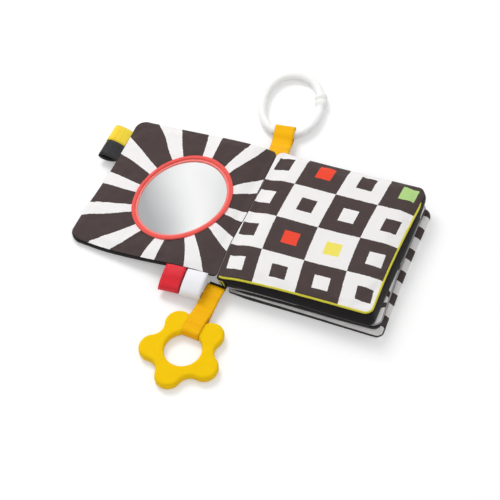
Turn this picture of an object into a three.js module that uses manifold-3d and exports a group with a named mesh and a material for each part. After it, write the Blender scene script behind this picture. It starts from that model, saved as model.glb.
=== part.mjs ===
// A padded fabric book for a baby, lying open at its mirror page. It has a front cover with a round
// mirror and four ribbon tags, two leaves, a back cover and a spine, a link ring on a ribbon tab at
// one end of the spine and a flower teether on a ribbon strap at the other.
// Millimetres, +Z up, +Y along the spine, +X towards the free edge of the back cover.

import * as THREE from 'three';
import { mergeVertices } from 'three/addons/utils/BufferGeometryUtils.js';
import Module from 'manifold-3d';

const wasm = await Module();
wasm.setup();

// Driving dimensions

const cloth = 0.8; // thickness of a fabric face
const clearance = 0.3; // between pieces that touch
const softClearance = 0.45; // round a wadding core

const pageWidth = 145; // from the fold to the free edge
const pageLength = 155; // along the spine
const pageCorner = 9; // corner radius
const sideDraw = 1.5; // how far the middle of a free side draws in
const padHalf = 3.7; // half the thickness in the middle of a page
const seamHeight = 2.6; // from the middle plane up to the seam round a page
const lowHeight = 2.9; // from the middle plane down to the underside near the seam
const lowRound = 1.6; // height of the rounded lower edge
const crownRun = 14; // how far in from a side the crown rises
const hemWidth = 6; // flat sewn strip beside the fold
const hemHalf = 0.95; // half its thickness
const hemRun = 15; // from the hem to full thickness
const coreStart = 6; // wadding core: from the hem to its edge
const coreLater = 1.5;
const coreInset = 16; // its faces are flat further in than this
const restCut = 0.5; // depth of the flat cut under the back cover

const leafGap = 0.4; // between two pages that lie on each other
const backFold = 8; // from the middle of the spine to each page's fold, along X
const middleFold = 4.9;
const checkFold = 2.6;
const coverFold = 3;
const middleLift = 1.2; // degrees that a leaf's free edge stands up
const checkLift = 2.6;
const coverFoot = 3.6; // height of the front cover's middle plane at the edge that rests

const edgingRadius = 0.9; // corded edge round a page
const mirrorThickness = 0.8;
const windowRadius = 46.6; // round window in the mirror page
const windowFromFold = 67.5;
const mirrorLap = 1.2; // how far the mirror reaches behind the window's edge
const bindingOuter = 48.3; // ring sewn round the window
const bindingInner = 43.6;
const bindingRise = 0.95;
const bindingLip = 1.6; // part of the ring that goes down into the window

const spineHalf = 1.95; // half the thickness of the padded spine
const spineTopBelow = 0.9; // spine's head below the top fold
const spineFootRise = 1.3; // spine's foot above the surface
const spineBulge = 0.4;
const spineShort = 1; // each end of the spine lies this far inside the pages' ends
const footInset = 4.3; // from the back cover's fold in to the spine's foot
const headShift = 1.2; // spine's head to the left of the middle

const ribbon = 0.8; // thickness of a satin ribbon
const tagWidth = 19.4;
const tagReach = 21;
const tagHalf = 5.2; // fullness of a tag's loop
const tagDroop = 18; // degrees that the two tags on the near side hang down
const tagRise = 5; // degrees that the two tags on the free edge stand up
const tagFromEnd = 8; // from the page's end to the first tag on the free edge
const tagsApart = 0.5;
const whiteTagStart = 14.5; // from the fold
const redTagStart = 36;

const tabWidth = 19;
const tabLength = 45; // from the spine to the far side of the tab's loop
const tabHeight = 15.5; // where the tab leaves the spine
const tabTurn = 8.8; // degrees that the tab leans towards the front cover
const tubeRadius = 4.2; // link ring
const ringHalfWidth = 28.3;
const ringHalfLength = 38.6;
const knuckle = 1.25; // how far a closure knuckle stands proud of the tube
const knuckleLength = 9;
const closureAngle = 14; // degrees round the ring from its right side
const closureGap = 0.7;
const tongueRadius = 2;
const tongueLength = 3;

const strapWidth = 17;
const strapLength = 55.5;
const strapHeight = 10;
const strapTurn = 5.1; // degrees that the strap leans towards the front cover
const strapOffset = 1;
const hemPouch = 8; // length of the black hem that holds the strap
const hemOver = 1; // the hem is this much wider than the strap
const petalCentre = 29.6; // teether: from its centre to a petal's
const petalRadius = 11.6;
const valleyRadius = 26.5; // from its centre to the edge between two petals
const holeRadius = 17.3;
const teetherThickness = 8;
const teetherRound = 3;

const recessRoom = 1.6; // between the mirror's rim and the wadding round it

// Small helpers

const weldWithin = 1e-4; // points closer than this are one

const rad = THREE.MathUtils.degToRad;
const lerp = THREE.MathUtils.lerp;
const clamp = THREE.MathUtils.clamp;

// Quarter of an ellipse: 0 at the edge, 1 once run away from it
function ease(distance, run) {
  const k = 1 - clamp(distance / run, 0, 1);
  return Math.sqrt(1 - k * k);
}

function fabric(color) {
  return new THREE.MeshStandardMaterial({ color, roughness: 0.9, metalness: 0 });
}

function plastic(color, roughness) {
  return new THREE.MeshStandardMaterial({ color, roughness, metalness: 0 });
}

function satin(color) {
  return new THREE.MeshStandardMaterial({ color, roughness: 0.45, metalness: 0 });
}

function part(name, geometry, material) {
  const mesh = new THREE.Mesh(geometry, material);
  mesh.name = name;
  return mesh;
}

// A closed body through a list of rings with the same number of points. Its ends close on a point
// each, or, with no end points, the last ring joins the first.
function throughRings(rings, startPoint = null, endPoint = null) {
  const count = rings[0].length;
  const positions = rings.flat().flatMap((p) => [p.x, p.y, p.z]);
  const index = [];
  const bands = startPoint ? rings.length - 1 : rings.length;
  for (let i = 0; i < bands; i += 1) {
    const here = i * count;
    const next = ((i + 1) % rings.length) * count;
    for (let j = 0; j < count; j += 1) {
      const k = (j + 1) % count;
      index.push(here + j, here + k, next + k);
      index.push(here + j, next + k, next + j);
    }
  }
  if (startPoint) {
    const start = rings.length * count;
    const last = (rings.length - 1) * count;
    positions.push(startPoint.x, startPoint.y, startPoint.z, endPoint.x, endPoint.y, endPoint.z);
    for (let j = 0; j < count; j += 1) {
      const k = (j + 1) % count;
      index.push(start, k, j);
      index.push(start + 1, last + j, last + k);
    }
  }
  const geometry = new THREE.BufferGeometry();
  geometry.setAttribute('position', new THREE.Float32BufferAttribute(positions, 3));
  geometry.setIndex(index);
  return facingOut(geometry);
}

function signedVolume(geometry) {
  const p = geometry.getAttribute('position');
  const index = geometry.getIndex().array;
  const [a, b, c] = [new THREE.Vector3(), new THREE.Vector3(), new THREE.Vector3()];
  let total = 0;
  for (let i = 0; i < index.length; i += 3) {
    a.fromBufferAttribute(p, index[i]);
    b.fromBufferAttribute(p, index[i + 1]);
    c.fromBufferAttribute(p, index[i + 2]);
    total += a.dot(b.cross(c)) / 6;
  }
  return total;
}

function facingOut(geometry) {
  if (signedVolume(geometry) < 0) {
    const index = geometry.getIndex().array;
    for (let i = 0; i < index.length; i += 3) {
      [index[i + 1], index[i + 2]] = [index[i + 2], index[i + 1]];
    }
  }
  return geometry;
}

// Joins the vertices that several faces share
function welded(geometry) {
  geometry.deleteAttribute('normal');
  geometry.deleteAttribute('uv');
  return mergeVertices(geometry, weldWithin);
}

function toManifold(geometry) {
  return new wasm.Manifold(
    new wasm.Mesh({
      numProp: 3,
      vertProperties: new Float32Array(geometry.getAttribute('position').array),
      triVerts: new Uint32Array(geometry.getIndex().array),
    }),
  );
}

function fromManifold(solid) {
  const mesh = solid.getMesh();
  const geometry = new THREE.BufferGeometry();
  geometry.setAttribute('position', new THREE.BufferAttribute(mesh.vertProperties, 3));
  geometry.setIndex(new THREE.BufferAttribute(mesh.triVerts, 1));
  return geometry;
}

// A strip of cloth: the path is its middle line in the plane of its bends, and width runs across it
function strip(path, thickness, width) {
  const half = thickness / 2;
  const sides = [half, -half].map((offset) =>
    path.map((p, i) => {
      const before = path[Math.max(i - 1, 0)];
      const after = path[Math.min(i + 1, path.length - 1)];
      const along = after.clone().sub(before).normalize();
      return new THREE.Vector2(p.x - along.y * offset, p.y + along.x * offset);
    }),
  );
  const shape = new THREE.Shape([...sides[0], ...sides[1].reverse()]);
  const geometry = new THREE.ExtrudeGeometry(shape, { depth: width, bevelEnabled: false });
  geometry.translate(0, 0, -width / 2);
  return welded(geometry);
}

// Turns the extrusion's plane upright: its x stays outward, its y becomes +Z and its depth -Y
function standUp(geometry) {
  return geometry.rotateX(Math.PI / 2);
}

// Pages. In a page's own frame u runs from the fold to the free edge, v along the fold, and w up
// from the middle plane to the side that is printed for this spread.

const sideSteps = 5;
const cornerSteps = 3;

function drawIn(along, length) {
  const t = clamp((along - pageCorner) / (length - 2 * pageCorner), 0, 1);
  return sideDraw * Math.sin(Math.PI * t);
}

function freeEdge(v) {
  return pageWidth - drawIn(v + pageLength / 2, pageLength);
}

function sideEdge(u) {
  return pageLength / 2 - drawIn(u, pageWidth);
}

// Points round the page, anticlockwise seen from above, moved out by an offset
function pageOutline(offset = 0) {
  const inner = {
    low: -pageLength / 2 + pageCorner,
    high: pageLength / 2 - pageCorner,
    near: pageCorner,
    far: pageWidth - pageCorner,
  };
  const sides = [
    { from: [inner.near, inner.low], to: [inner.far, inner.low], out: -90, bow: sideDraw },
    { from: [inner.far, inner.low], to: [inner.far, inner.high], out: 0, bow: sideDraw },
    { from: [inner.far, inner.high], to: [inner.near, inner.high], out: 90, bow: sideDraw },
    { from: [inner.near, inner.high], to: [inner.near, inner.low], out: 180, bow: 0 },
  ];
  const radius = pageCorner + offset;
  const points = [];
  for (const { from, to, out, bow } of sides) {
    const outward = new THREE.Vector2(Math.cos(rad(out)), Math.sin(rad(out)));
    const [start, end] = [new THREE.Vector2(...from), new THREE.Vector2(...to)];
    for (let i = 0; i <= sideSteps; i += 1) {
      const t = i / sideSteps;
      const reach = radius - bow * Math.sin(Math.PI * t);
      points.push(start.clone().lerp(end, t).addScaledVector(outward, reach));
    }
    for (let i = 1; i < cornerSteps; i += 1) {
      const angle = rad(out + (90 * i) / cornerSteps);
      const turn = new THREE.Vector2(Math.cos(angle), Math.sin(angle));
      points.push(end.clone().addScaledVector(turn, radius));
    }
  }
  return points;
}

function fullness(u) {
  return Math.sin((Math.PI / 2) * clamp((u - hemWidth) / hemRun, 0, 1));
}

function crown(u, v) {
  const fromFree = ease(freeEdge(v) - u, crownRun);
  return fromFree * ease(sideEdge(u) - Math.abs(v), crownRun);
}

// A core starts to fill a little further from the fold than the faces round it
function topAt(u, v, later = 0) {
  return lerp(hemHalf, lerp(seamHeight, padHalf, crown(u, v)), fullness(u - later));
}

function bottomAt(u, v, flatCut, later = 0) {
  const depth = lerp(hemHalf, lerp(lowHeight, padHalf, crown(u, v)), fullness(u - later));
  return -Math.min(depth, padHalf - flatCut);
}

const insets = [2.5, 7, 14, 22, 36];

// Moves each outline point a distance towards the centre
function movedIn(outline, centre, inset) {
  return outline.map((p) => {
    const arm = p.clone().sub(centre);
    return arm.setLength(Math.max(arm.length() - inset, 1)).add(centre);
  });
}

function circleThrough(outline, centre, radius) {
  return outline.map((p) => p.clone().sub(centre).setLength(radius).add(centre));
}

function raised(points, height) {
  return points.map((p) => new THREE.Vector3(p.x, p.y, height(p.x, p.y)));
}

function pointAt(centre, height) {
  return new THREE.Vector3(centre.x, centre.y, height(centre.x, centre.y));
}

// The upper fabric face, with or without a round window
function upperFace(centre, window) {
  const outline = pageOutline();
  const used = window ? insets.filter((d) => d < centre.x - window) : insets;
  const loops = [outline, ...used.map((d) => movedIn(outline, centre, d))];
  if (window) {
    loops.push(circleThrough(outline, centre, window));
  }
  const under = (u, v) => topAt(u, v) - cloth;
  const outer = loops.map((loop) => raised(loop, topAt)).reverse();
  const inner = loops.map((loop) => raised(loop, under));
  if (window) {
    return throughRings([...outer, ...inner]);
  }
  return throughRings([...outer, ...inner], pointAt(centre, topAt), pointAt(centre, under));
}

// The lower fabric face: a shallow dish whose walls rise to just under the seam
function lowerFace(centre, flatCut) {
  const outline = pageOutline();
  const seam = (u, v) => topAt(u, v) - cloth - clearance;
  const seamLoop = raised(outline, seam);
  const inside = movedIn(outline, centre, cloth);
  const innerSeam = inside.map((p, i) => new THREE.Vector3(p.x, p.y, seamLoop[i].z));
  const low = (share, lift) => (u, v) => bottomAt(u, v, flatCut) + lift + share * lowRound * fullness(u);
  const outside = [
    seamLoop,
    raised(outline, low(1, 0)),
    raised(movedIn(outline, centre, 1), low(0.35, 0)),
    ...insets.map((d) => raised(movedIn(outline, centre, d + 0.5), low(0, 0))),
  ];
  const lining = [
    innerSeam,
    raised(movedIn(outline, centre, cloth + 0.2), low(0.6, cloth)),
    ...insets.map((d) => raised(movedIn(outline, centre, d + 0.5), low(0, cloth))),
  ];
  return throughRings(
    [...outside.reverse(), ...lining],
    pointAt(centre, low(0, 0)),
    pointAt(centre, low(0, cloth)),
  );
}

// The wadding core between the two faces, with a round recess where a mirror lies in it
function waddingCore(centre, flatCut, recess) {
  const firstU = hemWidth + coreStart;
  const edge = movedIn(pageOutline(), centre, cloth + 2 * softClearance);
  edge.forEach((p) => {
    p.x = Math.max(p.x, firstU);
  });
  const top = (u, v) => topAt(u, v, coreLater) - cloth - softClearance;
  const sunk = (u, v) => top(u, v) - (recess ? recess.depth : 0);
  const bottom = (u, v) => bottomAt(u, v, flatCut, coreLater) + cloth + softClearance;
  const lip = recess ? recess.radius + 1 : 0;
  const room = recess ? centre.x - firstU - lip : coreInset;
  const upperInsets = insets.filter((d) => d < room);
  const upper = [edge, ...upperInsets.map((d) => movedIn(edge, centre, d))].map((p) => raised(p, top));
  if (recess) {
    upper.push(raised(circleThrough(edge, centre, lip), top));
    upper.push(raised(circleThrough(edge, centre, recess.radius), sunk));
  }
  const rim = raised(edge, (u, v) => bottom(u, v) + softClearance);
  const lowerInsets = insets.filter((d) => d < coreInset);
  const lower = [rim, ...lowerInsets.map((d) => raised(movedIn(edge, centre, d), bottom))];
  return throughRings([...upper.reverse(), ...lower], pointAt(centre, sunk), pointAt(centre, bottom));
}

// The corded edge that is sewn into the seam
function edging() {
  const outline = pageOutline();
  const outside = pageOutline(1);
  const sectionSides = 6;
  const rings = outline.map((p, i) => {
    const outward = outside[i].clone().sub(p).normalize();
    const height = topAt(p.x, p.y) - hemHalf;
    return Array.from({ length: sectionSides }, (_, k) => {
      const angle = (2 * Math.PI * k) / sectionSides;
      const reach = clearance + edgingRadius * (1 + Math.cos(angle));
      const at = p.clone().addScaledVector(outward, reach);
      return new THREE.Vector3(at.x, at.y, height + edgingRadius * Math.sin(angle));
    });
  });
  return throughRings(rings);
}

function page(name, faces, options) {
  const { upper, lower, edge = null, window = null, recess = null, flatCut = 0 } = options;
  const centre = new THREE.Vector2(window ? windowFromFold : pageWidth / 2, 0);
  const group = new THREE.Group();
  group.add(part(`${name}_${faces[0]}`, upperFace(centre, window), fabric(upper)));
  group.add(part(`${name}_${faces[1]}`, lowerFace(centre, flatCut), fabric(lower)));
  group.add(part(`${name}_wadding`, waddingCore(centre, flatCut, recess), fabric('#efece4')));
  if (edge) {
    group.add(part(`${name}_edging`, edging(), fabric(edge)));
  }
  return group;
}

// Heights of the folds above the surface that the book lies on
const backHeight = padHalf - restCut;
const layer = 2 * padHalf + leafGap;
const middleHeight = backHeight + layer;
const topHeight = middleHeight + layer;

function placeRight(group, fold, height, lift) {
  group.position.set(fold, 0, height);
  group.rotation.y = -rad(lift);
  return group;
}

// The front cover lies to the left of the spine, so its page frame is turned half round
function placeLeft(group) {
  group.position.set(-coverFold, 0, topHeight);
  group.rotation.set(0, Math.asin((topHeight - coverFoot) / pageWidth), Math.PI, 'ZYX');
  return group;
}

// Front cover: mirror, its sewn ring and the ribbon tags

const mirrorTop = padHalf - cloth - clearance;

function mirrorSheet() {
  const radius = windowRadius + mirrorLap;
  const geometry = new THREE.CylinderGeometry(radius, radius, mirrorThickness, 48);
  geometry.rotateX(Math.PI / 2);
  geometry.translate(windowFromFold, 0, mirrorTop - mirrorThickness / 2);
  return welded(geometry);
}

function mirrorBinding() {
  const seat = padHalf + clearance;
  const lipFoot = mirrorTop + clearance;
  const top = seat + bindingRise;
  const profile = [
    [bindingInner, lipFoot],
    [bindingInner + bindingLip, lipFoot],
    [bindingInner + bindingLip, seat],
    [bindingOuter, seat],
    [bindingOuter, seat + bindingRise / 2],
    [bindingOuter - bindingRise, top],
    [bindingInner + bindingRise, top],
    [bindingInner, seat + bindingRise / 3],
    [bindingInner, lipFoot],
  ].map(([r, h]) => new THREE.Vector2(r, h));
  const geometry = new THREE.LatheGeometry(profile, 48);
  geometry.rotateX(Math.PI / 2);
  geometry.translate(windowFromFold, 0, 0);
  return facingOut(welded(geometry));
}

// One ribbon folded into a full loop, with both ends at the seam
function tagGeometry() {
  const steps = 22;
  const start = (ribbon + clearance) / 2;
  const path = [];
  for (let i = 0; i <= steps; i += 1) {
    const angle = (2 * Math.PI * i) / steps;
    const out = (tagReach * (1 - Math.cos(angle))) / 2;
    const up = tagHalf * Math.sin(angle) * Math.sin(angle / 2) + start * Math.cos(angle / 2);
    path.push(new THREE.Vector2(out, up));
  }
  return standUp(strip(path, ribbon, tagWidth));
}

// A tag on the free edge, or on the side of the page, whose first edge is at the place given
function tag(name, color, place, onSide) {
  const mesh = part(name, tagGeometry(), satin(color));
  const middle = place + tagWidth / 2;
  const edgeAt = onSide ? sideEdge : freeEdge;
  const outermost = Math.max(edgeAt(place), edgeAt(place + tagWidth));
  const half = ribbon + clearance / 2;
  const turn = rad(onSide ? tagDroop : -tagRise);
  const root = outermost + clearance + half * Math.sin(Math.abs(turn));
  if (onSide) {
    mesh.position.set(middle, root, topAt(middle, edgeAt(middle)) - half);
    mesh.rotation.set(0, turn, Math.PI / 2, 'ZYX');
  } else {
    mesh.position.set(root, middle, topAt(edgeAt(middle), middle) - half);
    mesh.rotation.y = turn;
  }
  return mesh;
}

function frontCover() {
  const recess = { radius: windowRadius + mirrorLap + recessRoom, depth: mirrorThickness + clearance };
  const group = page('front_cover', ['inner_face', 'outer_face'], {
    upper: '#f4f2f0',
    lower: '#232021',
    window: windowRadius,
    recess,
  });
  const mirrorFinish = new THREE.MeshStandardMaterial({ color: '#d9dcde', roughness: 0.05, metalness: 1 });
  group.add(part('mirror_sheet', mirrorSheet(), mirrorFinish));
  group.add(part('mirror_binding', mirrorBinding(), fabric('#f4605a')));
  const yellowTagStart = -pageLength / 2 + tagFromEnd;
  const blackTagStart = yellowTagStart + tagWidth + tagsApart;
  group.add(tag('tag_yellow', '#ffd000', yellowTagStart, false));
  group.add(tag('tag_black', '#1c1c1c', blackTagStart, false));
  group.add(tag('tag_white', '#f4f4f8', whiteTagStart, true));
  group.add(tag('tag_red', '#d8202f', redTagStart, true));
  return placeLeft(group);
}

// Spine: two faces over wadding, leaning from its foot beside the back cover to its head between
// the top folds, with a corded edge at each end

const spineFoot = new THREE.Vector2(backFold - footInset, spineFootRise);
const spineHead = new THREE.Vector2(-headShift, topHeight - spineTopBelow);
const spineSteps = 10;
const spineLength = pageLength - 2 * spineShort;

function spineLine(offset) {
  const along = spineHead.clone().sub(spineFoot);
  const left = new THREE.Vector2(-along.y, along.x).normalize();
  return Array.from({ length: spineSteps + 1 }, (_, i) => {
    const t = i / spineSteps;
    const bulge = spineBulge * Math.sin(Math.PI * t);
    return spineFoot.clone().addScaledVector(along, t).addScaledVector(left, bulge + offset(t));
  });
}

function spineFullness(t) {
  return ease(Math.min(t, 1 - t), 0.2);
}

const facesApart = (cloth + clearance) / 2;
const faceOffset = (t) => lerp(facesApart, spineHalf - cloth / 2, spineFullness(t));

const spineCoreStart = 0.08; // the spine's wadding starts and ends this share of the way up

function spineWadding() {
  const half = (t) => faceOffset(t) - cloth / 2 - clearance;
  const steps = spineSteps * 2;
  const filled = 1 - 2 * spineCoreStart;
  const inner = Array.from({ length: steps + 1 }, (_, i) => spineCoreStart + (filled * i) / steps);
  const along = spineHead.clone().sub(spineFoot);
  const left = new THREE.Vector2(-along.y, along.x).normalize();
  const place = (t, side) => {
    const bulge = spineBulge * Math.sin(Math.PI * t);
    return spineFoot.clone().addScaledVector(along, t).addScaledVector(left, bulge + side * half(t));
  };
  const shape = new THREE.Shape([
    ...inner.map((t) => place(t, -1)),
    ...inner.reverse().map((t) => place(t, 1)),
  ]);
  const depth = spineLength - 2 * clearance;
  const geometry = new THREE.ExtrudeGeometry(shape, { depth, bevelEnabled: false });
  geometry.translate(0, 0, -depth / 2);
  return standUp(welded(geometry));
}

// The corded edge along one end of the spine
function spineEndEdging(side) {
  const y = side * (spineLength / 2 + clearance + edgingRadius);
  const points = spineLine(() => 0).map((p) => new THREE.Vector3(p.x, y, p.y));
  const route = new THREE.CatmullRomCurve3(points);
  const section = new THREE.Shape();
  section.absarc(0, 0, edgingRadius, 0, 2 * Math.PI);
  const options = { steps: spineSteps, extrudePath: route, curveSegments: 4, bevelEnabled: false };
  return facingOut(welded(new THREE.ExtrudeGeometry(section, options)));
}

function spine() {
  const group = new THREE.Group();
  const outer = strip(spineLine(faceOffset), cloth, spineLength);
  const inner = strip(spineLine((t) => -faceOffset(t)), cloth, spineLength);
  group.add(part('spine_outer_face', standUp(outer), fabric('#232021')));
  group.add(part('spine_inner_face', standUp(inner), fabric('#232021')));
  group.add(part('spine_wadding', spineWadding(), fabric('#efece4')));
  group.add(part('spine_edging_near', spineEndEdging(-1), fabric('#d8d23a')));
  group.add(part('spine_edging_far', spineEndEdging(1), fabric('#d8d23a')));
  return group;
}

// A ribbon folded round something it carries. Outward is x, and the loop's middle lies below the
// ribbon's start by the drop. The carried piece fills the loop from loopFrom to loopTo.
function carryingRibbon({ loopFrom, loopTo, bodyHalf, drop, width }) {
  const start = (ribbon + clearance) / 2;
  const full = bodyHalf + clearance + ribbon / 2;
  const turn = full * 0.9;
  const end = loopTo + clearance + ribbon / 2;
  const straightSteps = 12;
  const turnSteps = 10;
  const upper = [];
  const lower = [];
  for (let i = 0; i <= straightSteps; i += 1) {
    const x = ((end - turn) * i) / straightSteps;
    const t = clamp(x / loopFrom, 0, 1);
    const middle = -drop * t * t * (3 - 2 * t);
    const apart = lerp(start, full, clamp((t - 0.45) / 0.55, 0, 1) ** 2);
    upper.push(new THREE.Vector2(x, middle + apart));
    lower.push(new THREE.Vector2(x, middle - apart));
  }
  const bend = Array.from({ length: turnSteps - 1 }, (_, i) => {
    const angle = Math.PI / 2 - (Math.PI * (i + 1)) / turnSteps;
    return new THREE.Vector2(end - turn + turn * Math.cos(angle), -drop + full * Math.sin(angle));
  });
  return standUp(strip([...upper, ...bend, ...lower.reverse()], ribbon, width));
}

// How much the inner edge of a curved body falls back across half a ribbon's width
function sagitta(radius, width) {
  return radius - Math.sqrt(radius * radius - (width * width) / 4);
}

// Link ring on its tab, at the far end of the spine. In the group x runs out along the tab.

const loopLow = ribbon + 2 * clearance; // the loop's lower ply lies between the piece and the surface
const ringCurve = (ringHalfWidth * ringHalfWidth) / ringHalfLength; // its bend where the tab holds it
const ringFallsBack = sagitta(ringCurve - tubeRadius, tabWidth);
const ringLoop = { to: tabLength - clearance - ribbon, height: loopLow + tubeRadius };
ringLoop.tube = ringLoop.to - clearance - ringFallsBack - tubeRadius;
ringLoop.from = ringLoop.tube - tubeRadius - clearance;

function ringStation(angle, radius) {
  const centre = new THREE.Vector2(ringHalfLength * Math.cos(angle), ringHalfWidth * Math.sin(angle));
  const outward = new THREE.Vector2(ringHalfWidth * Math.cos(angle), ringHalfLength * Math.sin(angle));
  outward.normalize();
  const sides = 10;
  return Array.from({ length: sides }, (_, k) => {
    const turn = (2 * Math.PI * k) / sides;
    const at = centre.clone().addScaledVector(outward, radius * Math.cos(turn));
    return new THREE.Vector3(at.x, at.y, radius * Math.sin(turn));
  });
}

// The open ring: a round bar from one side of the closure to the other, thicker at both ends, with
// a tongue on one end that lies in a socket in the other
function linkRing() {
  const meanRadius = (ringHalfWidth + ringHalfLength) / 2;
  const closure = rad(-90 + closureAngle);
  const halfGap = closureGap / 2 / meanRadius;
  const knuckleTurn = knuckleLength / meanRadius;
  const steps = 50;
  const rings = [];
  const ends = [];
  const endRound = 1.2 / meanRadius;
  const addRing = (t) => {
    const angle = closure + halfGap + t * (2 * Math.PI - 2 * halfGap);
    const fromEnd = Math.min(t, 1 - t) * 2 * Math.PI;
    const swell = fromEnd < knuckleTurn ? Math.sin((Math.PI * (fromEnd + 0.12)) / (knuckleTurn + 0.12)) : 0;
    const tip = ease(fromEnd + endRound * 0.25, endRound);
    rings.push(ringStation(angle, (tubeRadius + knuckle * Math.sqrt(Math.max(swell, 0))) * tip));
    return angle;
  };
  const fine = [0, 0.0015, 0.006, 0.013, 0.022, 0.03, 0.037];
  const middle = Array.from({ length: steps - 1 }, (_, i) => 0.037 + (0.926 * (i + 1)) / steps);
  [...fine, ...middle, ...fine.map((t) => 1 - t).reverse()].forEach((t) => {
    ends.push(addRing(t));
  });
  const tipPoint = (angle) =>
    new THREE.Vector3(ringHalfLength * Math.cos(angle), ringHalfWidth * Math.sin(angle), 0);
  const body = throughRings(rings, tipPoint(ends[0]), tipPoint(ends[ends.length - 1]));
  const closureAt = (radius, length, shift) => {
    const angle = closure;
    const along = new THREE.Vector3(-ringHalfLength * Math.sin(angle), ringHalfWidth * Math.cos(angle), 0);
    along.normalize();
    const pin = new THREE.CylinderGeometry(radius, radius, length, 12);
    const turned = new THREE.Quaternion().setFromUnitVectors(new THREE.Vector3(0, 1, 0), along);
    pin.applyQuaternion(turned);
    const at = tipPoint(angle).addScaledVector(along, shift);
    pin.translate(at.x, at.y, at.z);
    return toManifold(welded(pin));
  };
  const tongueStart = closureGap / 2 + 1;
  const tongue = closureAt(tongueRadius, tongueLength + tongueStart, (tongueStart - tongueLength) / 2);
  const socketLength = tongueLength + 2 * clearance;
  const socket = closureAt(tongueRadius + clearance, socketLength, -socketLength / 2);
  return fromManifold(toManifold(body).subtract(socket).add(tongue));
}

function ringOnTab() {
  const tab = part('ring_tab', carryingRibbon({
    loopFrom: ringLoop.from,
    loopTo: ringLoop.to,
    bodyHalf: tubeRadius,
    drop: tabHeight - ringLoop.height,
    width: tabWidth,
  }), satin('#eeb000'));
  const ring = part('link_ring', linkRing(), plastic('#f1efe9', 0.35));
  ring.position.set(ringLoop.tube + ringHalfLength, 0, ringLoop.height - tabHeight);
  const group = new THREE.Group();
  group.add(tab, ring);
  group.position.set(0, spineLength / 2 + 4 * clearance + 2 * edgingRadius, tabHeight);
  group.rotation.z = rad(90 + tabTurn);
  return group;
}

// Flower teether on its strap, at the near end of the spine

const holeFallsBack = sagitta(holeRadius, strapWidth);
const shoulder = Math.cos(Math.PI / 5) * petalCentre +
  Math.sqrt(petalRadius ** 2 - (Math.sin(Math.PI / 5) * petalCentre - strapWidth / 2) ** 2);
const teetherLoop = {
  to: strapLength - clearance - ribbon,
  height: loopLow + teetherThickness / 2,
};
teetherLoop.centre = teetherLoop.to + holeRadius - holeFallsBack - clearance;
teetherLoop.from = teetherLoop.centre - shoulder - clearance;

// Five round petals joined by hollow arcs, about a round hole
function flowerShape() {
  const fifth = (2 * Math.PI) / 5;
  const across = petalCentre * Math.sin(fifth / 2);
  const along = petalCentre * Math.cos(fifth / 2);
  const reach = valleyRadius - along;
  const hollow = (reach * reach + across * across - petalRadius ** 2) / (2 * (petalRadius - reach));
  const hollowCentre = valleyRadius + hollow;
  const lean = Math.atan2(across, hollowCentre - along);
  const shape = new THREE.Shape();
  for (let i = 0; i < 5; i += 1) {
    const petal = fifth * i + fifth / 2;
    const valley = fifth * (i + 1);
    const out = Math.PI / 2 + (Math.PI / 2 - lean) - fifth / 2;
    shape.absarc(
      petalCentre * Math.cos(petal),
      petalCentre * Math.sin(petal),
      petalRadius,
      petal - out,
      petal + out,
      false,
    );
    shape.absarc(
      hollowCentre * Math.cos(valley),
      hollowCentre * Math.sin(valley),
      hollow,
      petal + out + Math.PI,
      2 * valley - (petal + out) - Math.PI,
      true,
    );
  }
  const hole = new THREE.Path();
  for (let i = 0; i < 4; i += 1) {
    hole.absarc(0, 0, holeRadius, (-Math.PI * i) / 2, (-Math.PI * (i + 1)) / 2, true);
  }
  shape.holes.push(hole);
  return shape;
}

function teetherGeometry() {
  const geometry = new THREE.ExtrudeGeometry(flowerShape(), {
    depth: teetherThickness - 2 * teetherRound,
    bevelThickness: teetherRound,
    bevelSize: teetherRound,
    bevelOffset: -teetherRound,
    bevelSegments: 3,
    curveSegments: 5,
  });
  geometry.translate(0, 0, teetherRound - teetherThickness / 2);
  return facingOut(welded(geometry));
}

function teetherOnStrap() {
  const strap = part('teether_strap', carryingRibbon({
    loopFrom: teetherLoop.from,
    loopTo: teetherLoop.to,
    bodyHalf: teetherThickness / 2,
    drop: strapHeight - teetherLoop.height,
    width: strapWidth,
  }), satin('#eeb000'));
  const teether = part('teether', teetherGeometry(), plastic('#f3c906', 0.5));
  const held = teetherLoop.centre - (teetherLoop.from + teetherLoop.to) / 2;
  const tilt = Math.asin(loopLow / (held + petalCentre + petalRadius));
  const height = teetherLoop.height - held * Math.sin(tilt);
  teether.position.set(teetherLoop.centre, 0, height - strapHeight);
  teether.rotation.set(0, -tilt, Math.PI, 'ZYX');
  const group = new THREE.Group();
  group.add(strap, teether);
  group.position.set(-strapOffset, -pageLength / 2 - clearance - 2 * edgingRadius - hemPouch, strapHeight);
  group.rotation.z = rad(-90 - strapTurn);
  return group;
}

// The black hem at the spine's near end, folded round the start of the strap
function strapHem() {
  const apart = ribbon + clearance / 2 + clearance + cloth / 2;
  const foldRadius = apart;
  const steps = 8;
  const bend = Array.from({ length: steps + 1 }, (_, i) => {
    const angle = Math.PI / 2 + (Math.PI * i) / steps;
    return new THREE.Vector2(foldRadius * Math.cos(angle), foldRadius * Math.sin(angle));
  });
  const mouth = hemPouch - foldRadius - cloth / 2;
  const path = [new THREE.Vector2(mouth, apart), ...bend, new THREE.Vector2(mouth, -apart)];
  const mesh = part('strap_hem', standUp(strip(path, cloth, strapWidth + hemOver)), fabric('#232021'));
  const back = clearance + 2 * edgingRadius + clearance + foldRadius + cloth / 2;
  mesh.position.set(-strapOffset + 0.3, -spineLength / 2 - back, strapHeight);
  mesh.rotation.set(0, 0, rad(-90 - strapTurn));
  return mesh;
}

// The whole book, with its origin under the middle of the back cover

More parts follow.
